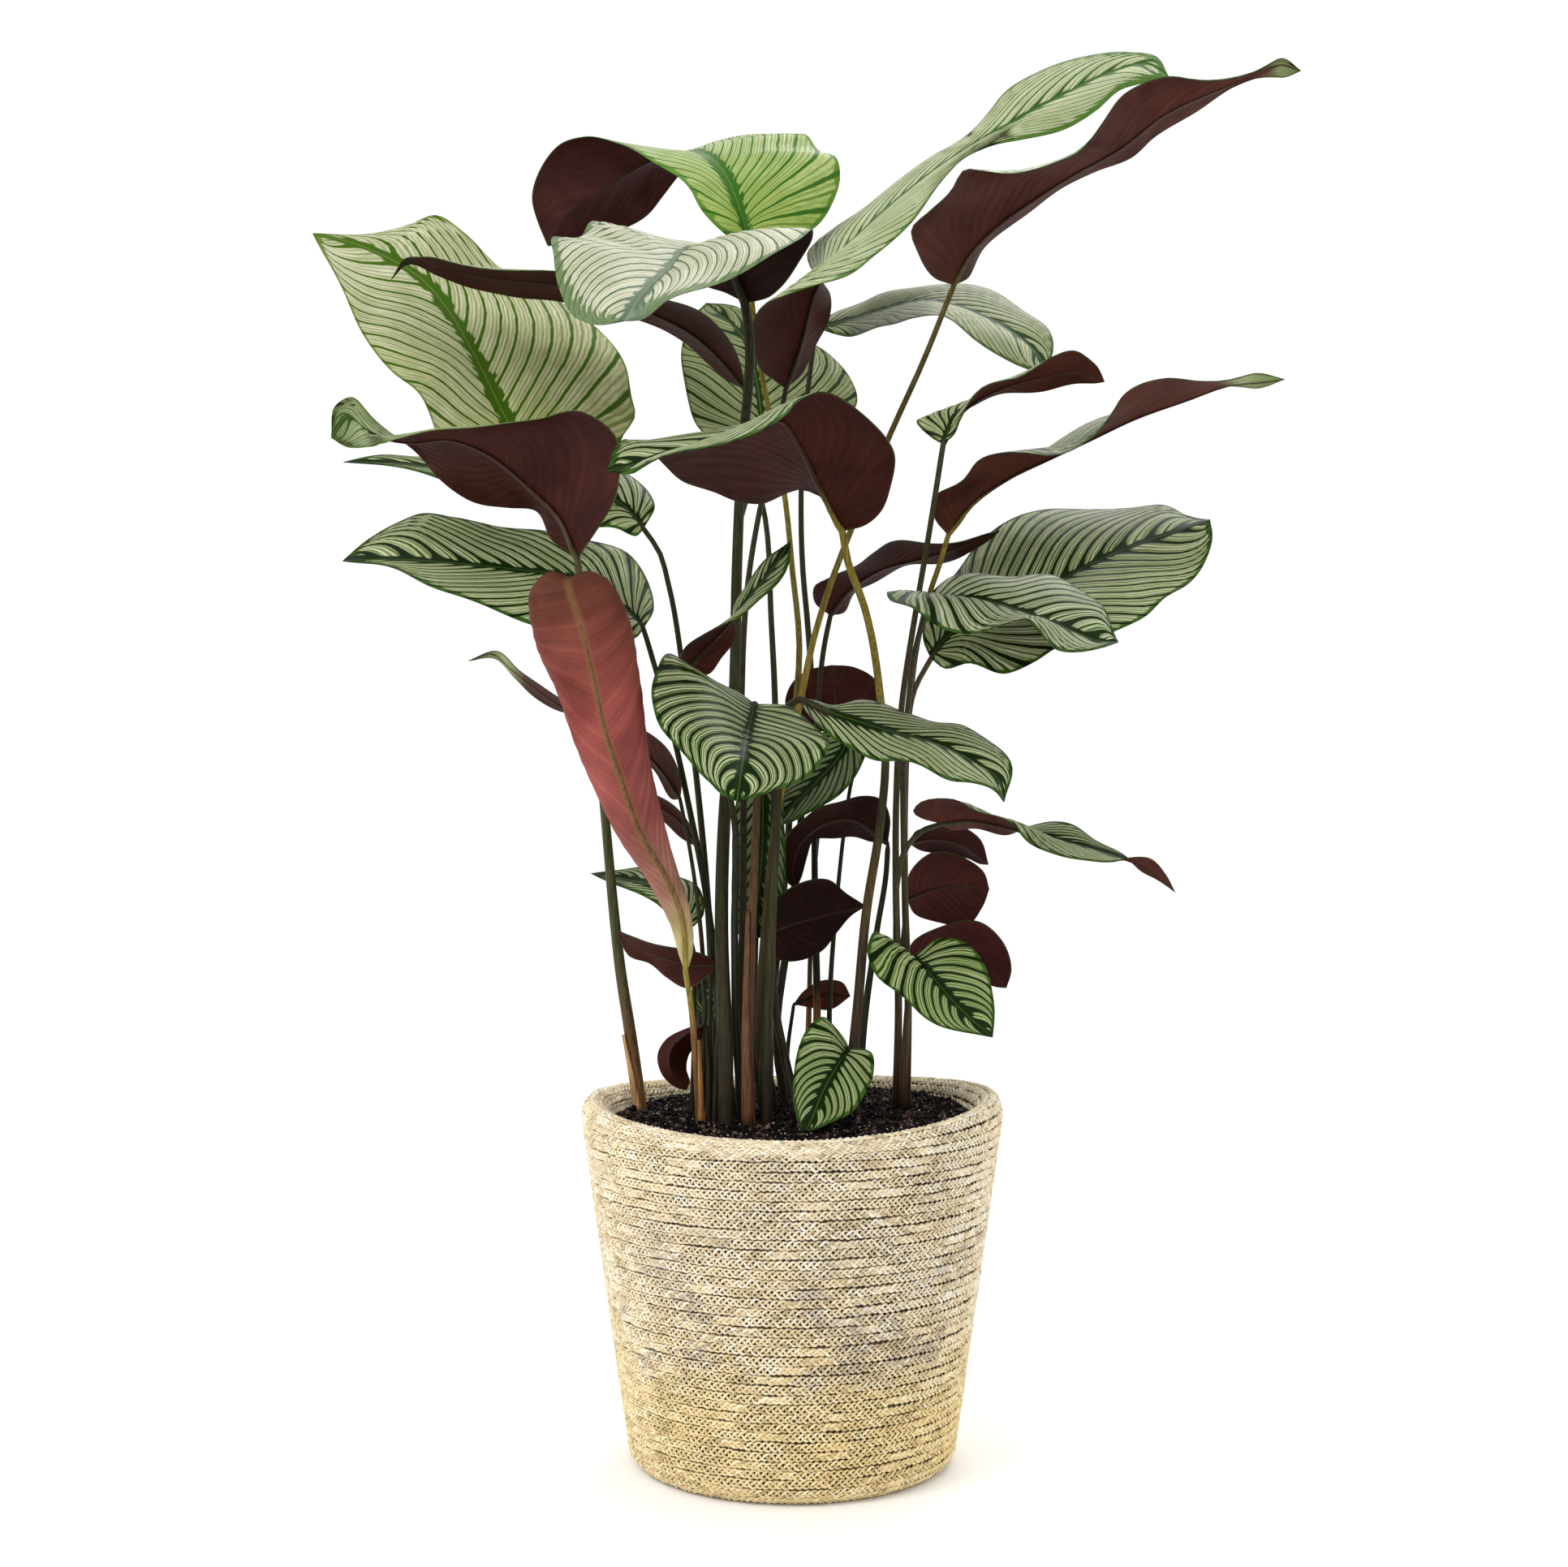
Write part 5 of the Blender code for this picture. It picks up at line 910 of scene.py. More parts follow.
leaf("dark_left", (-95, 28),
     [(-100, 262, 29), (-105.5, 297, 30), (-109.5, 332, 30), (-115.5, 397, 28), (-120.5, 447, 24),
      (-124, 472, 6), (-128, 502, -14), (-130.5, 532, -22)],
     [(-132, 552, -25), (-143, 577, -25), (-163, 597, -22), (-188, 617, -15), (-210.5, 625.5, -8),
      (-238, 624, 0), (-260.5, 629.5, 2), (-274, 641, 2), (-284, 627, 0)],
     [(-120.5, 569.5, -38), (-108, 597, -52), (-109, 629.5, -55), (-128, 643.5, -55), (-158, 638, -48),
      (-188, 633.5, -38), (-218, 633.5, -25), (-246.5, 624.5, -5), (-260.5, 621.5, 5), (-273, 621, 8)],
     [(-145.5, 563, -10), (-158, 581, 8), (-175.5, 583.5, 20), (-198, 589.5, 28), (-218, 602, 26),
      (-232, 617, 18), (-245.5, 628.5, 8), (-260.5, 641, 0), (-272, 652, -4),
      (-281.5, 647, -3)], neck=0.0022, base=0.0042)
leaf("striped_left", (-41, -6),
     [(-44, 252, 0), (-47, 297, 2), (-54, 352, 2), (-63, 397, 4), (-71.5, 437, 8), (-82, 477, 9)],
     [(-91.5, 509.5, 10), (-100.5, 519.5, 11), (-118, 532, 12), (-138, 541, 14), (-168, 545.5, 18),
      (-208, 549.5, 20), (-248, 552, 23), (-277, 551, 25)],
     [(-95.5, 504.5, 4), (-118, 502, 0), (-153, 510.5, -2), (-188, 522, 0), (-218, 534.5, 6),
      (-253, 548, 18)],
     [(-85, 522, 22), (-86.5, 534.5, 30), (-100.5, 554.5, 38), (-125.5, 563, 42), (-153, 571, 45),
      (-183, 572, 46), (-208, 577, 46), (-228, 581, 44), (-243, 576, 38), (-260.5, 564.5, 30)])
leaf("behind_left", (-44, 24),
     [(-49, 252, 32), (-50, 307, 40), (-54, 367, 46), (-60, 427, 46), (-67, 482, 44), (-76, 536, 42),
      (-82, 557, 41)],
     [(-91.5, 571, 40), (-103, 584.5, 41), (-128, 597, 42), (-168, 602, 45), (-208, 607, 45),
      (-243, 611, 42), (-276.5, 612, 40)],
     [(-95.5, 567, 36), (-108, 571, 34), (-130.5, 571, 34), (-163, 587, 34), (-193, 593, 36),
      (-222, 604, 38), (-253, 610, 39)],
     [(-84.5, 584.5, 46), (-88, 594.5, 52), (-105.5, 607, 58), (-138, 613, 62), (-178, 617, 62),
      (-218, 616, 56), (-253, 616.5, 46)])
leaf("rolled_pink", (-56, -20),
     [(-59.5, 247, -21), (-63, 282, -23)],
     [(-65.5, 297, -25), (-68, 332, -28), (-78, 357, -32), (-93, 382, -38), (-105.5, 417, -46),
      (-115.5, 447, -54), (-123, 482, -62), (-132, 517, -70), (-138, 535, -66), (-137, 541, -50)],
     [(-63.5, 307, -21), (-65, 327, -19), (-76, 357, -19), (-85.5, 387, -20), (-93, 417, -24),
      (-99, 447, -28), (-104, 477, -34), (-110.5, 507, -40), (-117, 526, -44), (-127, 533, -44)],
     [(-67.5, 307, -21), (-72, 327, -19), (-85, 357, -19), (-100.5, 387, -20), (-112, 417, -24),
      (-122, 447, -28), (-132, 477, -34), (-143, 507, -40), (-150, 526, -44),
      (-146, 532, -44)], bulge=-0.42)
leaf("thin_left", (-56, 4),
     [(-54, 252, 8), (-55, 307, 4), (-62, 367, -3)],
     [(-69, 404.5, -5), (-80.5, 422, -2), (-98, 439.5, 0), (-118, 452, -2), (-138, 459, -3),
      (-158, 472, -4), (-173, 484, -4), (-185.5, 494, -4), (-199.5, 489.5, -4)],
     [(-68, 414.5, -10), (-78, 436, -14), (-90.5, 445.5, -14), (-113, 454.5, -16), (-135.5, 463, -16),
      (-155.5, 474.5, -14), (-168, 483, -11), (-182, 495.5, -7)],
     [(-73.5, 404, 0), (-85.5, 423.5, 8), (-103, 436, 12), (-128, 455, 11), (-143, 458.5, 10),
      (-158, 467.5, 8), (-170.5, 479, 4), (-184, 491, -1)], small=True)
leaf("small_brown_left", (-49, 14),
     [(-50.5, 252, 16), (-50, 307, 18), (-52, 347, 20)],
     [(-58, 374.5, 18), (-70.5, 392, 16), (-88, 402, 16), (-103, 408, 16), (-113, 411, 16)],
     [(-62, 386, 10), (-78, 404.5, 6), (-93, 410, 6), (-105.5, 413, 11)],
     [(-65, 378.5, 24), (-80.5, 391, 28), (-98, 400, 26), (-108, 407, 20)], small=True)
leaf("small_green_left", (-62, 13),
     [(-60.5, 252, 16), (-61, 297, 18)],
     [(-63.5, 323.5, 16), (-70.5, 339.5, 18), (-83, 349.5, 24), (-100.5, 354.5, 38), (-124, 358.5, 46)],
     [(-71.5, 327, 9), (-80.5, 337, 12), (-93, 345.5, 22), (-110.5, 352, 36)],
     [(-55, 332, 20), (-57, 349.5, 26), (-73, 357, 34), (-90.5, 363, 44), (-108, 360.5, 47)], small=True)
leaf("low_dark_left", (-47, -18),
     [(-46.5, 247, -15), (-44.5, 282, -11)],
     [(-45.5, 302, -5), (-63, 302, 0), (-80.5, 307, 5), (-95.5, 313, 12), (-109, 324.5, 18)],
     [(-53, 308, -10), (-65.5, 311, -10), (-78, 314, -6), (-93, 317.5, 2), (-103, 321.5, 12)],
     [(-53, 294, -3), (-64, 288, 3), (-78, 294.5, 11), (-88, 303.5, 17), (-100.5, 308, 18),
      (-106, 317, 19)], small=True)
leaf("low_curled_left", (-51, -7),
     [(-51.5, 242, -7)],
     [(-53, 266, -6), (-65.5, 259.5, -9), (-75, 249.5, -10), (-75, 237, -10), (-65, 225, -8)],
     [(-64, 263.5, -4), (-78, 256, -3), (-82.5, 247, -2), (-80, 234, -3), (-71, 226.5, -5)],
     [(-56.5, 254.5, -2), (-63, 247, 2), (-65.5, 238, 2), (-63, 229.5, -3)], small=True)
leaf("low_green_back", (-33, 16),
     [(-45.5, 237, 18)],
     [(-48, 265.5, 22), (-53, 277, 24), (-54, 287, 25), (-50.5, 298, 26)],
     [(-54, 269, 24), (-59.5, 279, 26), (-56, 289, 27)],
     [(-45.5, 272, 18), (-46, 283, 20), (-47.5, 292, 23)], small=True)
leaf("dark_crossing", (5, -24),
     [(-2.5, 237, -14), (-10.5, 277, 0), (-13, 322, 6), (-12, 372, 10), (-10.5, 417, 18),
      (-10.5, 463, 34), (-13, 517, 42), (-16.5, 577, 48), (-25.5, 617, 50)],
     [(-29, 657, 46), (-43, 674.5, 46), (-63, 692, 48), (-88, 704.5, 50), (-118, 716, 52),
      (-143, 721, 54), (-188, 726, 56), (-218, 732, 58), (-235.5, 736, 58), (-247, 724.5, 56)],
     [(-30.5, 669.5, 38), (-38, 684.5, 28), (-58, 704.5, 22), (-88, 716, 22), (-118, 724.5, 22),
      (-143, 728, 24), (-178, 731.5, 28), (-208, 734, 38), (-228, 737.5, 48), (-239, 737, 54)],
     [(-35.5, 659.5, 54), (-48, 671, 64), (-63, 683, 74), (-88, 696, 80), (-118, 707, 84),
      (-143, 711, 86), (-168, 712, 86), (-193, 718.5, 84), (-218, 728, 76), (-236.5, 733.5, 64)])
leaf("twisted_top", (-14, 42),
     [(-14, 252, 48), (-8, 322, 56), (-3, 372, 60), (-1, 407, 57), (1, 447, 48), (4.5, 497, 46),
      (0, 547, 54), (-4, 587, 62), (-15, 647, 66), (-22, 687, 64), (-25.5, 722, 52)],
     [(-27, 748, 42), (-35.5, 777, 45), (-43, 792, 52), (-53, 801.5, 62), (-68, 802, 80),
      (-88, 797, 92), (-118, 778.5, 98), (-138, 764.5, 96), (-150.5, 745, 90)],
     [(-33, 748, 39), (-43, 754.5, 36), (-55.5, 766, 38), (-63, 779.5, 44), (-69, 787, 50),
      (-88, 799, 62), (-107, 807, 75), (-128, 813, 85), (-143, 808, 90), (-155.5, 792, 92),
      (-160, 777, 92), (-156.5, 759.5, 91)],
     [(-8, 749, 43), (12, 755.5, 46), (26, 774.5, 54), (29.5, 788, 60), (26, 799.5, 66), (17, 802, 70),
      (7, 813.5, 76), (-4, 812, 80), (-11.5, 815, 84), (-25.5, 807.5, 92), (-45.5, 803, 104),
      (-63, 794.5, 118), (-72, 784.5, 124), (-80.5, 774.5, 124), (-88, 766, 120), (-108, 754.5, 110),
      (-130.5, 748, 100)])
leaf("over_middle", (-40, -30),
     [(-41, 252, -24), (-43.5, 322, -12), (-41.5, 397, -2), (-36, 462, 4), (-34, 547, 6),
      (-32.5, 587, 8), (-30, 627, 7), (-27, 657, 3), (-26, 687, 1)],
     [(-29, 710, 5), (-35.5, 728, 6), (-45, 742, -2), (-59, 744.5, -16), (-78, 729.5, -55),
      (-93, 714.5, -85), (-103, 699, -110)],
     [(-19.5, 711.5, 2), (-8, 718.5, -8), (4.5, 734.5, -18), (12, 748, -24), (12.5, 756.5, -32),
      (4.5, 750.5, -42), (-8, 741, -52), (-23, 732, -60), (-38, 726, -68), (-55.5, 720, -78),
      (-78, 709.5, -92), (-93, 700, -104)],
     [(-40.5, 716, 12), (-54, 722, 18), (-65.5, 734.5, 18), (-73, 744.5, 10), (-93, 748, -2),
      (-109, 754.5, -12), (-122.5, 761, -22), (-132, 750.5, -35), (-146, 751, -45), (-147, 737, -62),
      (-143, 718.5, -80), (-132, 700.5, -97), (-117, 695.5, -106)], neck=0.003, base=0.0048)
leaf("long_top", (-25, -9),
     [(-32, 252, -5), (-30.5, 322, 2), (-30, 397, 12), (-31, 472, 24), (-27, 539.5, 32),
      (-20, 582, 38), (-10.5, 622, 46)],
     [(-4, 657, 48), (3, 677, 42), (8, 694.5, 36), (12, 712, 32), (19.5, 729.5, 32), (37, 748, 36),
      (59.5, 769, 40), (87, 791, 46), (107, 804.5, 52), (137, 822, 56), (167, 838, 60), (197, 852, 62),
      (219.5, 857, 62), (232, 849.5, 60)],
     [(4.5, 666, 54), (13.5, 682, 62), (24.5, 702, 68), (24, 716, 74), (13.5, 728, 78), (9, 741, 78),
      (21, 753.5, 76), (37, 763.5, 74), (62, 782, 72), (87, 799.5, 70), (106, 811, 64),
      (119.5, 827, 70), (132, 842, 74), (157, 854.5, 76), (182, 861, 76), (207, 864, 72),
      (224.5, 862, 66)],
     [(-10.5, 662, 42), (-19.5, 669, 32), (-25.5, 686, 20), (-24.5, 701, 12), (-17, 710, 8),
      (-5.5, 714.5, 6), (14.5, 720, 4), (34.5, 725.5, 4), (52, 739.5, 10), (72, 759.5, 18),
      (87, 779.5, 28), (96, 789, 38), (107, 798.5, 48), (119.5, 805.5, 54), (142, 811, 48),
      (167, 818, 44), (187, 829.5, 46), (202, 841, 50), (218, 845, 54)])
leaf("long_dark_top", (-15, -11),
     [(-20, 252, -10), (-17, 322, -7), (-9, 397, -2), (5.5, 467, 6), (13, 502, 8), (22, 532, 8),
      (36, 569.5, 6), (59.5, 627, 0), (82, 677, -6)],
     [(99.5, 721, -10), (108, 738, -10), (126, 757, -10), (148, 773, -10), (173, 789, -10),
      (202, 805, -10), (229.5, 826, -8), (262, 841, -6), (287, 851, -4), (302, 857, -3),
      (313.5, 853, -2)],
     [(108, 726, 0), (120.5, 744.5, 14), (142, 764.5, 24), (162, 778.5, 28), (187, 789.5, 28),
      (209.5, 800, 24), (222, 813, 20), (252, 829.5, 14), (282, 846.5, 6), (293, 850, 2), (303, 849, 0)],
     [(87, 726, -20), (77, 741, -32), (73, 757, -40), (84.5, 767, -44), (98, 778, -46),
      (107, 791, -48), (119.5, 790, -46), (132, 789, -44), (162, 798, -40), (179.5, 807, -36),
      (192, 822, -34), (204.5, 837, -30), (217, 844.5, -26), (232, 849.5, -22), (252, 848, -16),
      (272, 849.5, -12), (289.5, 854, -8), (302, 860.5, -6)])
leaf("arching", (-4, 30),
     [(-9.5, 252, 36), (-2, 322, 48), (4, 372, 56), (6.5, 407, 58), (11, 447, 70), (12, 472, 72),
      (10, 507, 64), (6.5, 547, 64), (5.5, 587, 68), (7, 627, 76), (11, 667, 84)],
     [(14.5, 694.5, 86), (37, 700, 80), (57, 706, 72), (77, 711, 64), (97, 709, 54), (122, 699.5, 48),
      (142, 687, 42), (152, 677, 38), (156, 664.5, 34)],
     [(17, 699, 90), (27, 704.5, 94), (42, 708.5, 96), (57, 716, 94), (77, 721, 90), (97, 722, 84),
      (122, 717, 78), (142, 707, 68), (155, 697, 58), (160.5, 683, 46)],
     [(27, 691, 78), (42, 691, 64), (59.5, 696, 48), (74.5, 702, 34), (92, 701, 26), (112, 688, 22),
      (127, 679.5, 24), (143, 669.5, 30)])
leaf("pale_back", (-36, 2),
     [(-41.5, 252, 6), (-44, 322, 14), (-42, 397, 26), (-36.5, 472, 44), (-34, 547, 66),
      (-31.5, 577, 76), (-24, 599.5, 88)],
     [(-18, 617, 95), (-19, 637, 98), (-22, 662, 104), (-29, 687, 108), (-53, 710, 110)],
     [(-38, 619, 92), (-57, 633, 88), (-64.5, 651, 88), (-68, 672, 92), (-66.5, 689.5, 98),
      (-60, 703, 104)],
     [(7, 623, 100), (27, 634.5, 108), (39.5, 647, 112), (35.5, 665.5, 118), (24.5, 677, 122),
      (7, 687, 122), (-15.5, 697, 120), (-32, 707, 116)])
leaf("folded_middle", (34, 2),
     [(36, 232, 2), (40, 272, 4), (46, 337, 2), (54, 387, 0), (57.5, 427, -4), (54.5, 466, -14),
      (44, 524.5, -30), (34, 552, -34)],
     [(31, 569.5, -34), (17, 597, -52), (4.5, 622, -68), (-7, 637.5, -80), (-35.5, 630.5, -92),
      (-63, 621, -98), (-88, 613, -102), (-114, 606, -106)],
     [(43, 573, -38), (54.5, 581, -46), (61, 597, -56), (63.5, 614.5, -66), (57, 629.5, -78),
      (42, 643.5, -88), (22, 653.5, -98), (7, 650.5, -108), (-8, 639.5, -118), (-23, 631.5, -122),
      (-48, 621.5, -124), (-73, 615.5, -120), (-88, 611, -114), (-98, 605.5, -110)],
     [(24, 577, -30), (17, 592.5, -24), (4.5, 596.5, -20), (-8, 591, -15), (-18, 586, -12),
      (-35.5, 587, -12), (-48, 593, -16), (-68, 602, -28), (-79.5, 611, -42), (-88, 619, -58),
      (-95.5, 624.5, -75), (-104, 626.5, -90), (-110.5, 617, -100)], neck=0.0022, base=0.0036)
leaf("pointed", (-30, -20),
     [(-34, 252, -16), (-35.5, 322, -14), (-36.5, 397, -15), (-45, 432, -12), (-56.5, 462, -9)],
     [(-63, 486, -8), (-53, 497, -16), (-43, 508, -24), (-28, 526, -30), (-13, 544.5, -32),
      (-1, 563.5, -30)],
     [(-52, 481, -6), (-43, 491, -8), (-35.5, 507, -14), (-35, 523, -20), (-28, 538, -24),
      (-15.5, 552, -26)],
     [(-69, 491, -14), (-66.5, 498, -22), (-55.5, 504, -30), (-43, 512.5, -36), (-29.5, 518.5, -40),
      (-19.5, 526, -42), (-9, 538, -40), (-1.5, 552, -35)])
leaf("facing", (-26, -31),
     [(-27, 252, -26), (-25, 322, -20), (-22, 397, -12), (-21, 437, -6)],
     [(-23, 463, -14), (-27, 447, -40), (-30.5, 427, -78), (-34, 403, -106)],
     [(-10.5, 463, -20), (4.5, 456.5, -33), (18, 446.5, -50), (23, 438, -62), (14, 423, -78),
      (-7, 410, -95), (-23, 405.5, -102)],
     [(-38, 473, -16), (-57, 484, -20), (-76, 493, -26), (-84, 482, -42), (-86, 466, -58),
      (-82, 448, -72), (-65.5, 432, -84), (-52, 416, -96), (-43, 406.5, -102)], neck=0.0022, base=0.004)
leaf("facing_right", (-16, -23),
     [(-16, 252, -20), (-13, 322, -16), (-9, 397, -12), (-7, 437, -12), (-3, 461, -18)],
     [(4.5, 466, -26), (32, 455, -42), (62, 445.5, -56), (92, 437, -64), (112, 427, -68),
      (127, 416, -70), (130.5, 402.5, -72)],
     [(13, 466, -24), (27, 461, -24), (42, 464.5, -24), (57, 464, -28), (72, 457.5, -34),
      (87, 450.5, -40), (106, 450, -44), (124.5, 438.5, -52), (135, 423, -62)],
     [(10, 457, -24), (22, 444.5, -40), (42, 432, -62), (77, 424.5, -90), (94.5, 417, -92),
      (112, 415.5, -86), (124.5, 409, -78)], neck=0.0022, base=0.0042)
leaf("dark_behind", (10, 76),
     [(10, 252, 78), (13, 347, 76), (18, 397, 72), (24, 427, 66)],
     [(27, 444.5, 60), (27, 462, 54), (26, 474.5, 52), (24.5, 487, 56)],
     [(43, 448, 56), (55.5, 464, 48), (52, 477, 46), (39.5, 485.5, 50)],
     [(12, 448, 60), (-4.5, 463, 58), (-1, 474.5, 56), (12, 484.5, 56)], small=True)
leaf("grazing_striped", (26, 58),
     [(23, 252, 56), (28, 347, 54), (35, 407, 52), (40, 437, 50)],
     [(38, 450.5, 44), (30, 432, 40), (15, 414.5, 38), (-0.5, 399.5, 40), (-12.5, 388, 44)],
     [(46, 439.5, 38), (42, 423, 30), (29.5, 408, 27), (12, 396.5, 31), (-2, 389.5, 38)],
     [(21, 447, 40), (7, 429.5, 44), (-4, 414.5, 45), (-12, 399.5, 46)], small=True)
leaf("hanging_striped", (-20, 26),
     [(-23, 252, 32), (-22, 322, 40), (-20.5, 382, 46), (-19, 412, 46)],
     [(-19, 424.5, 38), (-18, 397, 26), (-19, 367, 22), (-21.5, 342, 20), (-26, 317, 20)],
     [(-9, 414.5, 36), (-5, 387, 30), (-4, 357, 28), (-6.5, 336, 24), (-14, 322, 22)],
     [(-30.5, 413, 34), (-36.5, 387, 24), (-37, 362, 20), (-37, 341, 18), (-34, 322, 19)], small=True)
leaf("dark_reaching_left", (14, 48),
     [(15, 252, 52), (14, 347, 56), (14, 417, 58), (16, 462, 46), (19.5, 497, 34)],
     [(23.5, 517.5, 28), (32, 529.5, 28), (52, 544.5, 28), (82, 553, 28), (107, 561, 30),
      (128, 569.5, 32)],
     [(32, 519.5, 34), (41, 533, 42), (67, 546, 46), (92, 551, 46), (109.5, 555.5, 42)],
     [(13.5, 526, 22), (13, 536, 16), (24.5, 541, 12), (40, 547, 10), (49.5, 556.5, 10), (58, 563, 10),
      (87, 560.5, 14), (112, 566, 22)])
leaf("wide_dark", (42, 20),
     [(43, 252, 22), (52, 322, 28), (58, 359.5, 30)],
     [(59, 377, 32), (37, 392, 34), (17, 388, 38), (4.5, 376, 40), (0.5, 362, 38), (2.5, 349, 36)],
     [(60, 393, 26), (54, 404, 22), (42, 407, 20), (27, 402, 24), (8, 393, 32), (-3, 382, 38),
      (-5.5, 367, 38), (-3, 353, 37)],
     [(51, 378.5, 40), (32, 380.5, 46), (13.5, 379, 46), (9.5, 369.5, 42), (6, 357, 36)])
leaf("short_dark_right", (65.5, 36.1),
     [(65.5, 272, 37), (64, 322, 39), (65.5, 357, 41)],
     [(72, 377, 42), (87, 379.5, 42), (104.5, 376, 42), (121, 364, 42)],
     [(79.5, 372.5, 48), (94.5, 370, 52), (107, 368, 50), (115.5, 364.5, 46)],
     [(76, 384.5, 38), (87, 387.5, 34), (102, 388, 32), (115, 381, 35)], small=True)
leaf("long_red_brown", (65.5, 23.5),
     [(65.5, 272, 20), (64, 327, 12), (65, 354.5, 5), (70.5, 374.5, -2), (79.5, 384.5, -2)],
     [(92, 389, 0), (109.5, 391, 0), (127, 388, 0), (152, 382, -2), (172, 377, -4), (194.5, 370.5, -6),
      (217, 362, -8), (236, 347, -10)],
     [(98, 386, 6), (112, 385.5, 10), (132, 382.5, 10), (145, 388, 8), (157, 390, 8), (172, 388, 6),
      (187, 379.5, 2), (204.5, 370, -3), (214.5, 360, -6), (227, 353.5, -8)],
     [(81, 392, -6), (74.5, 398, -12), (78, 403, -16), (99.5, 403.5, -18), (112, 396, -17),
      (134.5, 391, -15), (147, 378, -16), (157, 372, -18), (168, 367.5, -18), (184.5, 365.5, -15),
      (197, 366, -12), (209.5, 369, -11), (220.5, 368, -11), (230, 358, -11)], base=0.0026)
leaf("round_dark_upper", (71.8, 42.4),
     [(71.5, 272, 44), (68, 317, 50)],
     [(71, 342, 50), (87, 348.5, 50), (104.5, 351, 50), (121.5, 349, 50)],
     [(75, 334, 56), (92, 328, 62), (109.5, 327.5, 62), (117.5, 338, 56)],
     [(72.5, 359.5, 46), (87, 371.5, 43), (107, 368, 42), (118, 359.5, 45)], small=True)
leaf("round_dark_lower", (65.5, 42.4),
     [(65.5, 257, 48), (66, 282, 56)],
     [(71, 302, 58), (92, 311, 56), (114.5, 309.5, 54), (132, 288, 52)],
     [(82, 294.5, 64), (99.5, 291, 68), (114.5, 291, 64), (126, 288.5, 58)],
     [(73, 314.5, 54), (92, 326, 48), (117, 328, 44), (130.5, 316, 44), (135, 299, 47)], small=True)
leaf("twisted_right", (65.5, 29.8),
     [(65.5, 272, 29), (64, 347, 24), (64, 397, 18), (67, 457, 10), (76.5, 522, 0), (82.5, 557, -12),
      (89, 597, -22)],
     [(93, 623, -24), (99, 637, -24), (112, 649, -24), (132, 658.5, -24), (157, 665, -24),
      (177, 668.5, -24), (192.5, 661.5, -24)],
     [(85.5, 627.5, -16), (77.5, 636.5, -10), (92, 641.5, -6), (112, 646.5, -4), (132, 654, -4),
      (162, 657.5, -9), (182, 660, -16)],
     [(99, 628, -28), (103, 639.5, -34), (119.5, 657.5, -42), (142, 667, -44), (162, 676, -42),
      (174.5, 681, -38), (187, 672, -30)], base=0.0026)
leaf("long_dark_right", (71.8, 36.1),
     [(71.5, 272, 37), (69.5, 347, 33), (69.5, 397, 31), (72.5, 462, 30), (77.5, 502, 29),
      (85, 532, 26), (91.5, 551, 16)],
     [(96, 567, 10), (109.5, 585, 6), (132, 601.5, 4), (157, 613.5, 2), (182, 625, 2), (212, 639, 2),
      (242, 649.5, 2), (272, 659.5, 2), (289.5, 661, 2), (303.5, 663, 2)],
     [(103, 574.5, 18), (118, 591, 28), (137, 605, 34), (157, 620.5, 36), (177, 632, 34),
      (193, 639, 30), (212, 645, 24), (242, 654, 16), (272, 658.5, 8), (287, 657.5, 5)],
     [(88, 577, 0), (88, 593, -14), (106, 601.5, -22), (114.5, 611.5, -26), (143, 617, -28),
      (159.5, 616.5, -28), (179.5, 625, -26), (195, 638.5, -24), (204.5, 652, -22), (229.5, 663, -18),
      (252, 663, -12), (272, 663.5, -6), (287, 666.5, -2)], base=0.0026)
leaf("big_right", (71.8, 29.8),
     [(71.5, 272, 30), (69.5, 347, 25), (69.5, 397, 21), (71, 447, 15), (75.5, 472, 10)],
     [(85.5, 491, 6), (93.5, 502, 8), (107, 512, 12), (127, 522, 16), (147, 530.5, 20), (167, 540, 22),
      (187, 550.5, 24), (212, 561, 24), (237, 569.5, 24), (257.5, 576.5, 24)],
     [(81, 501, 12), (83, 517, 26), (90, 529.5, 36), (102, 546, 46), (113, 561, 52), (129.5, 573, 56),
      (157, 582.5, 60), (182, 584, 60), (212, 584, 56), (227, 584.5, 50), (245, 578, 36)],
     [(94.5, 484.5, 0), (108, 489, -4), (132, 482, -10), (149.5, 488, -12), (164.5, 497.5, -12),
      (184.5, 504, -12), (203, 510.5, -10), (218, 516.5, -6), (230.5, 528, 0), (244.5, 538, 6),
      (253.5, 549.5, 12), (259, 564.5, 18)], base=0.0026)
leaf("curled_right", (71.8, 23.5),
     [(71.5, 272, 22), (69.5, 347, 16), (68.5, 397, 10), (68.5, 432, 2), (71.5, 462, -6), (76, 497, -16)],
     [(83.5, 523, -28), (97, 527, -34), (112, 528, -38), (127, 524.5, -42), (142, 519.5, -44),
      (157, 514, -46), (172, 508, -46), (187, 502, -46), (201, 501, -46)],
     [(82, 528, -24), (88.5, 533.5, -18), (102, 541.5, -12), (117, 544.5, -8), (137, 541.5, -8),
      (162, 541, -10), (177, 535, -16), (189.5, 524.5, -26), (197, 509.5, -38)],
     [(72, 528, -34), (58.5, 533.5, -40), (60, 528, -46), (74.5, 520.5, -56), (85.5, 513, -62),
      (102, 508, -66), (114.5, 508, -68), (127, 510.5, -70), (143, 513.5, -70), (154.5, 504, -68),
      (162, 498, -64), (177, 496, -58), (192, 497.5, -52)], base=0.0026)
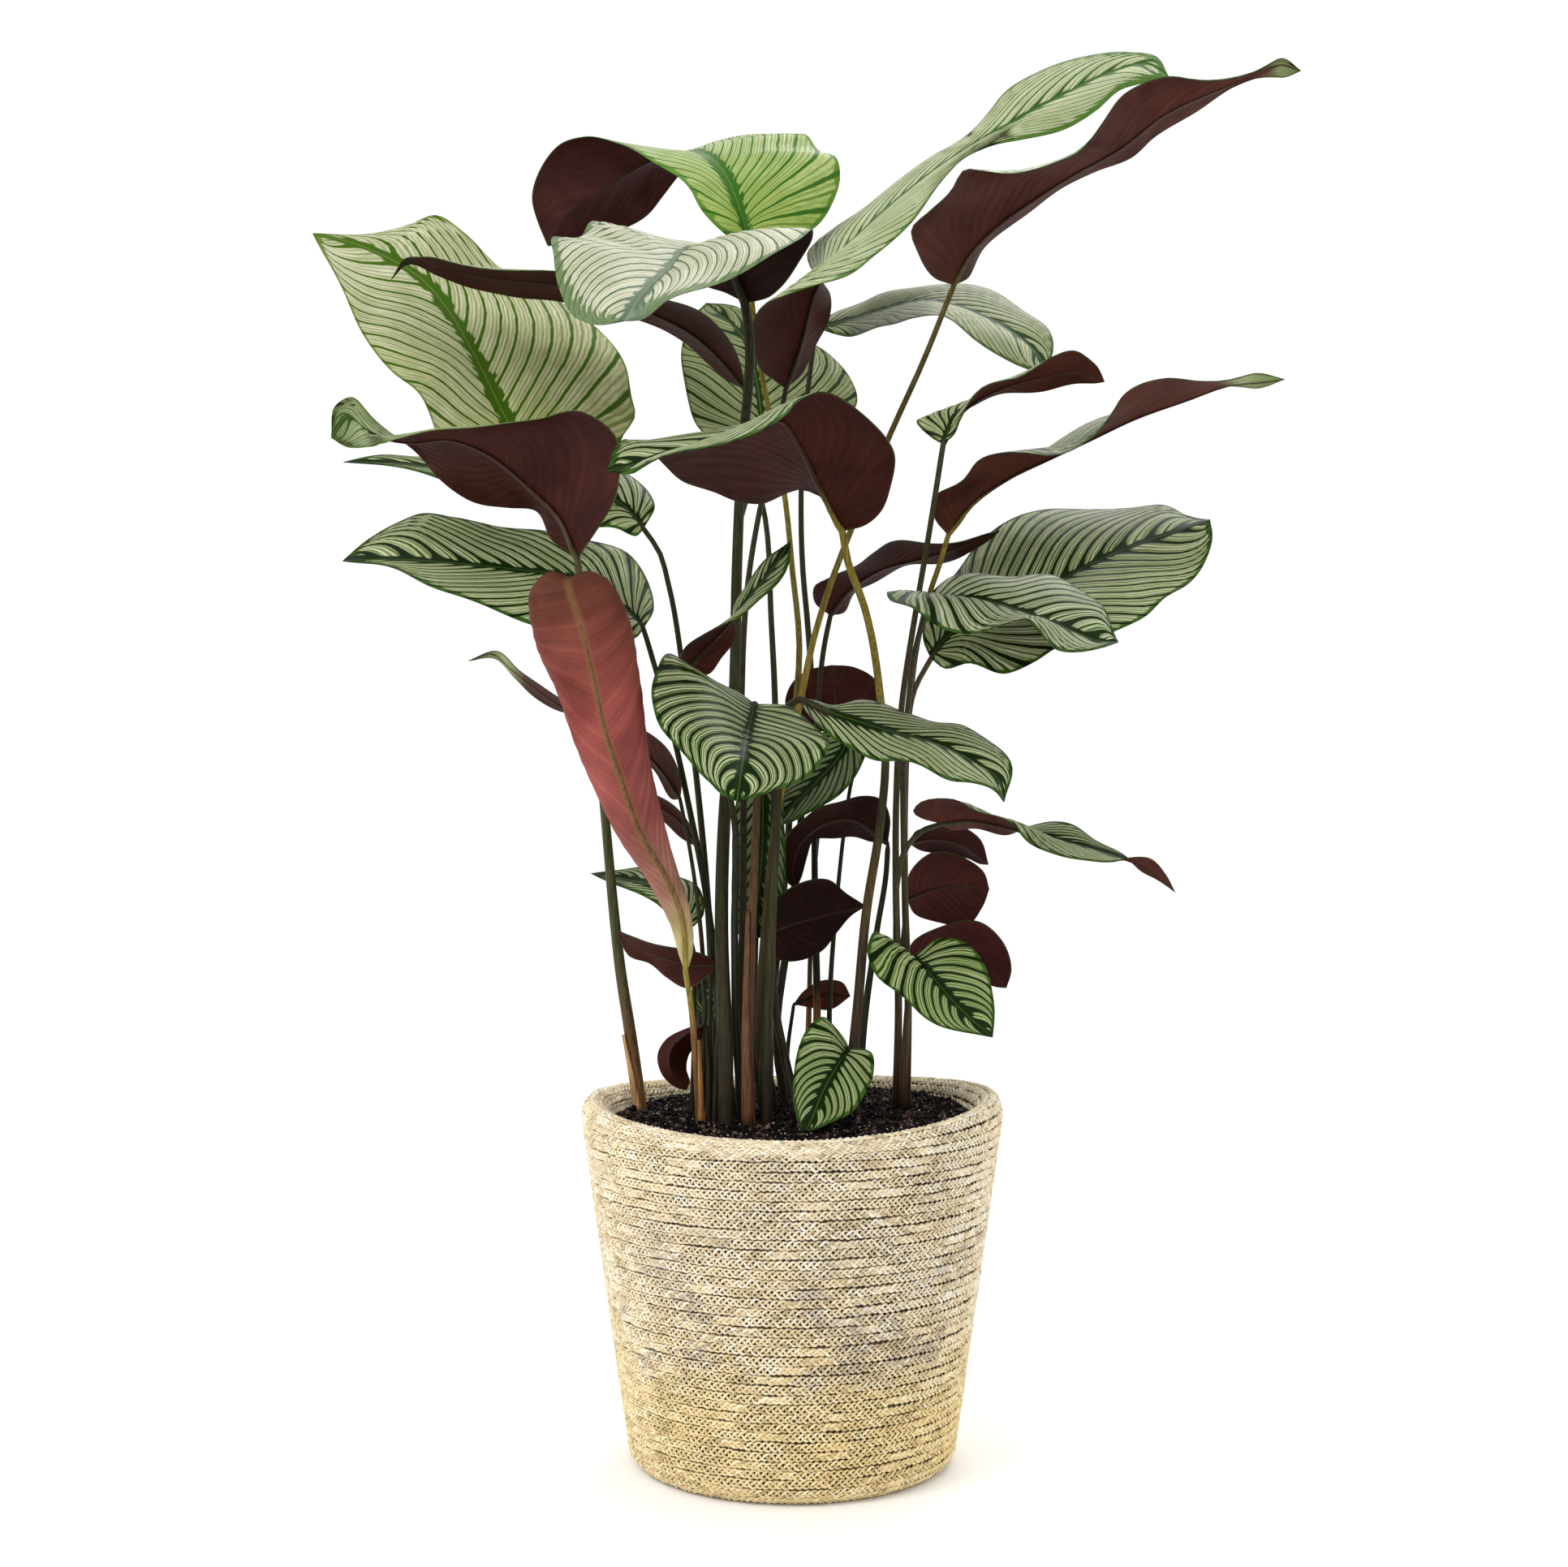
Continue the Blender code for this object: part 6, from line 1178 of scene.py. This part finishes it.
leaf("striped_low_right", (69, 16.5),
     [(69.5, 252, 11), (72, 289.5, 6)],
     [(73, 307, 0), (84.5, 297, -12), (97, 282, -24), (112, 267, -32), (123.5, 257.5, -36)],
     [(82, 313, -2), (92, 318, -2), (103, 318, -4), (119.5, 299.5, -14), (124.5, 277, -26),
      (124.5, 266, -32)],
     [(66, 309, -2), (59.5, 313, 0), (52, 324, 2), (46, 312, -4), (49.5, 299.5, -14), (64.5, 286, -28),
      (82, 269, -38), (102, 262, -40), (114.5, 259, -39)])
leaf("on_soil", (40, -8),
     [(37, 227, -7)],
     [(35, 251, -6), (26, 237, -25), (18, 222, -42), (12, 207, -54), (8, 199, -60)],
     [(42, 251, -10), (49, 247, -16), (50, 236, -30), (40.5, 216, -50), (24.5, 204.5, -60)],
     [(32, 257, -5), (19.5, 270.5, -3), (12, 266, -8), (3, 247, -24), (0.5, 227, -40), (2, 212, -52),
      (4.5, 203, -58)])
leaf("dark_centre", (-10, 12),
     [(-15.5, 252, 12), (-18, 297, 14)],
     [(-17, 321, 17), (-0.5, 327, 22), (22, 333, 24), (45.5, 338.5, 24)],
     [(-14, 309, 24), (-3, 304, 34), (18, 311, 36), (29, 323.5, 33), (37, 333, 28)],
     [(-12, 341, 12), (4.5, 352, 10), (22, 355, 12), (34.5, 345.5, 18)], small=True)
leaf("small_dark_back", (-3, 60),
     [(-3, 247, 62)],
     [(1, 278, 62), (17, 284, 64), (36, 283, 64)],
     [(8, 276.5, 66), (24.5, 275, 68)],
     [(7, 286, 60), (22, 293, 60), (31, 291.5, 62)], small=True)

# The floor is a plain pale sheet, and the light is a white room with a large soft lamp up on the left and a
# weaker one behind and above, as in the photograph.
FLOOR_REACH = 15
sheet = bpy.data.meshes.new("floor")
corners = [(x * FLOOR_REACH, y * FLOOR_REACH, 0) for x, y in ((-1, -1), (1, -1), (1, 1), (-1, 1))]
sheet.from_pydata(corners, [], [(0, 1, 2, 3)])
floor = bpy.data.objects.new("floor", sheet)
bpy.context.scene.collection.objects.link(floor)
paper, tree = finish("white_paper")
shell = node(tree, "BsdfPrincipled", {"Base Color": "#ffffff", "Roughness": 0.9})
node(tree, "OutputMaterial", (shell,))
sheet.materials.append(paper)

world = bpy.data.worlds.new("white_room")
world.use_nodes = True
world.node_tree.nodes["Background"].inputs["Color"].default_value = (1, 1, 1, 1)
world.node_tree.nodes["Background"].inputs["Strength"].default_value = 1.04
bpy.context.scene.world = world
for name, place, aim, size, power in (
        ("key", (-1.6, -1.4, 2.1), (0, 0, 0.4), 1.0, 24),
        ("back", (0.6, 1.4, 2.4), (0, 0, 0.5), 1.5, 18)):
    lamp = bpy.data.lights.new(name, "AREA")
    lamp.size = size
    lamp.energy = power
    lamp_object = bpy.data.objects.new(name, lamp)
    lamp_object.location = place
    way = np.array(aim) - place
    lamp_object.rotation_euler = (math.atan2(math.hypot(way[0], way[1]), -way[2]), 0, math.atan2(-way[0], way[1]))
    bpy.context.scene.collection.objects.link(lamp_object)
bpy.context.scene.view_settings.view_transform = "Standard"
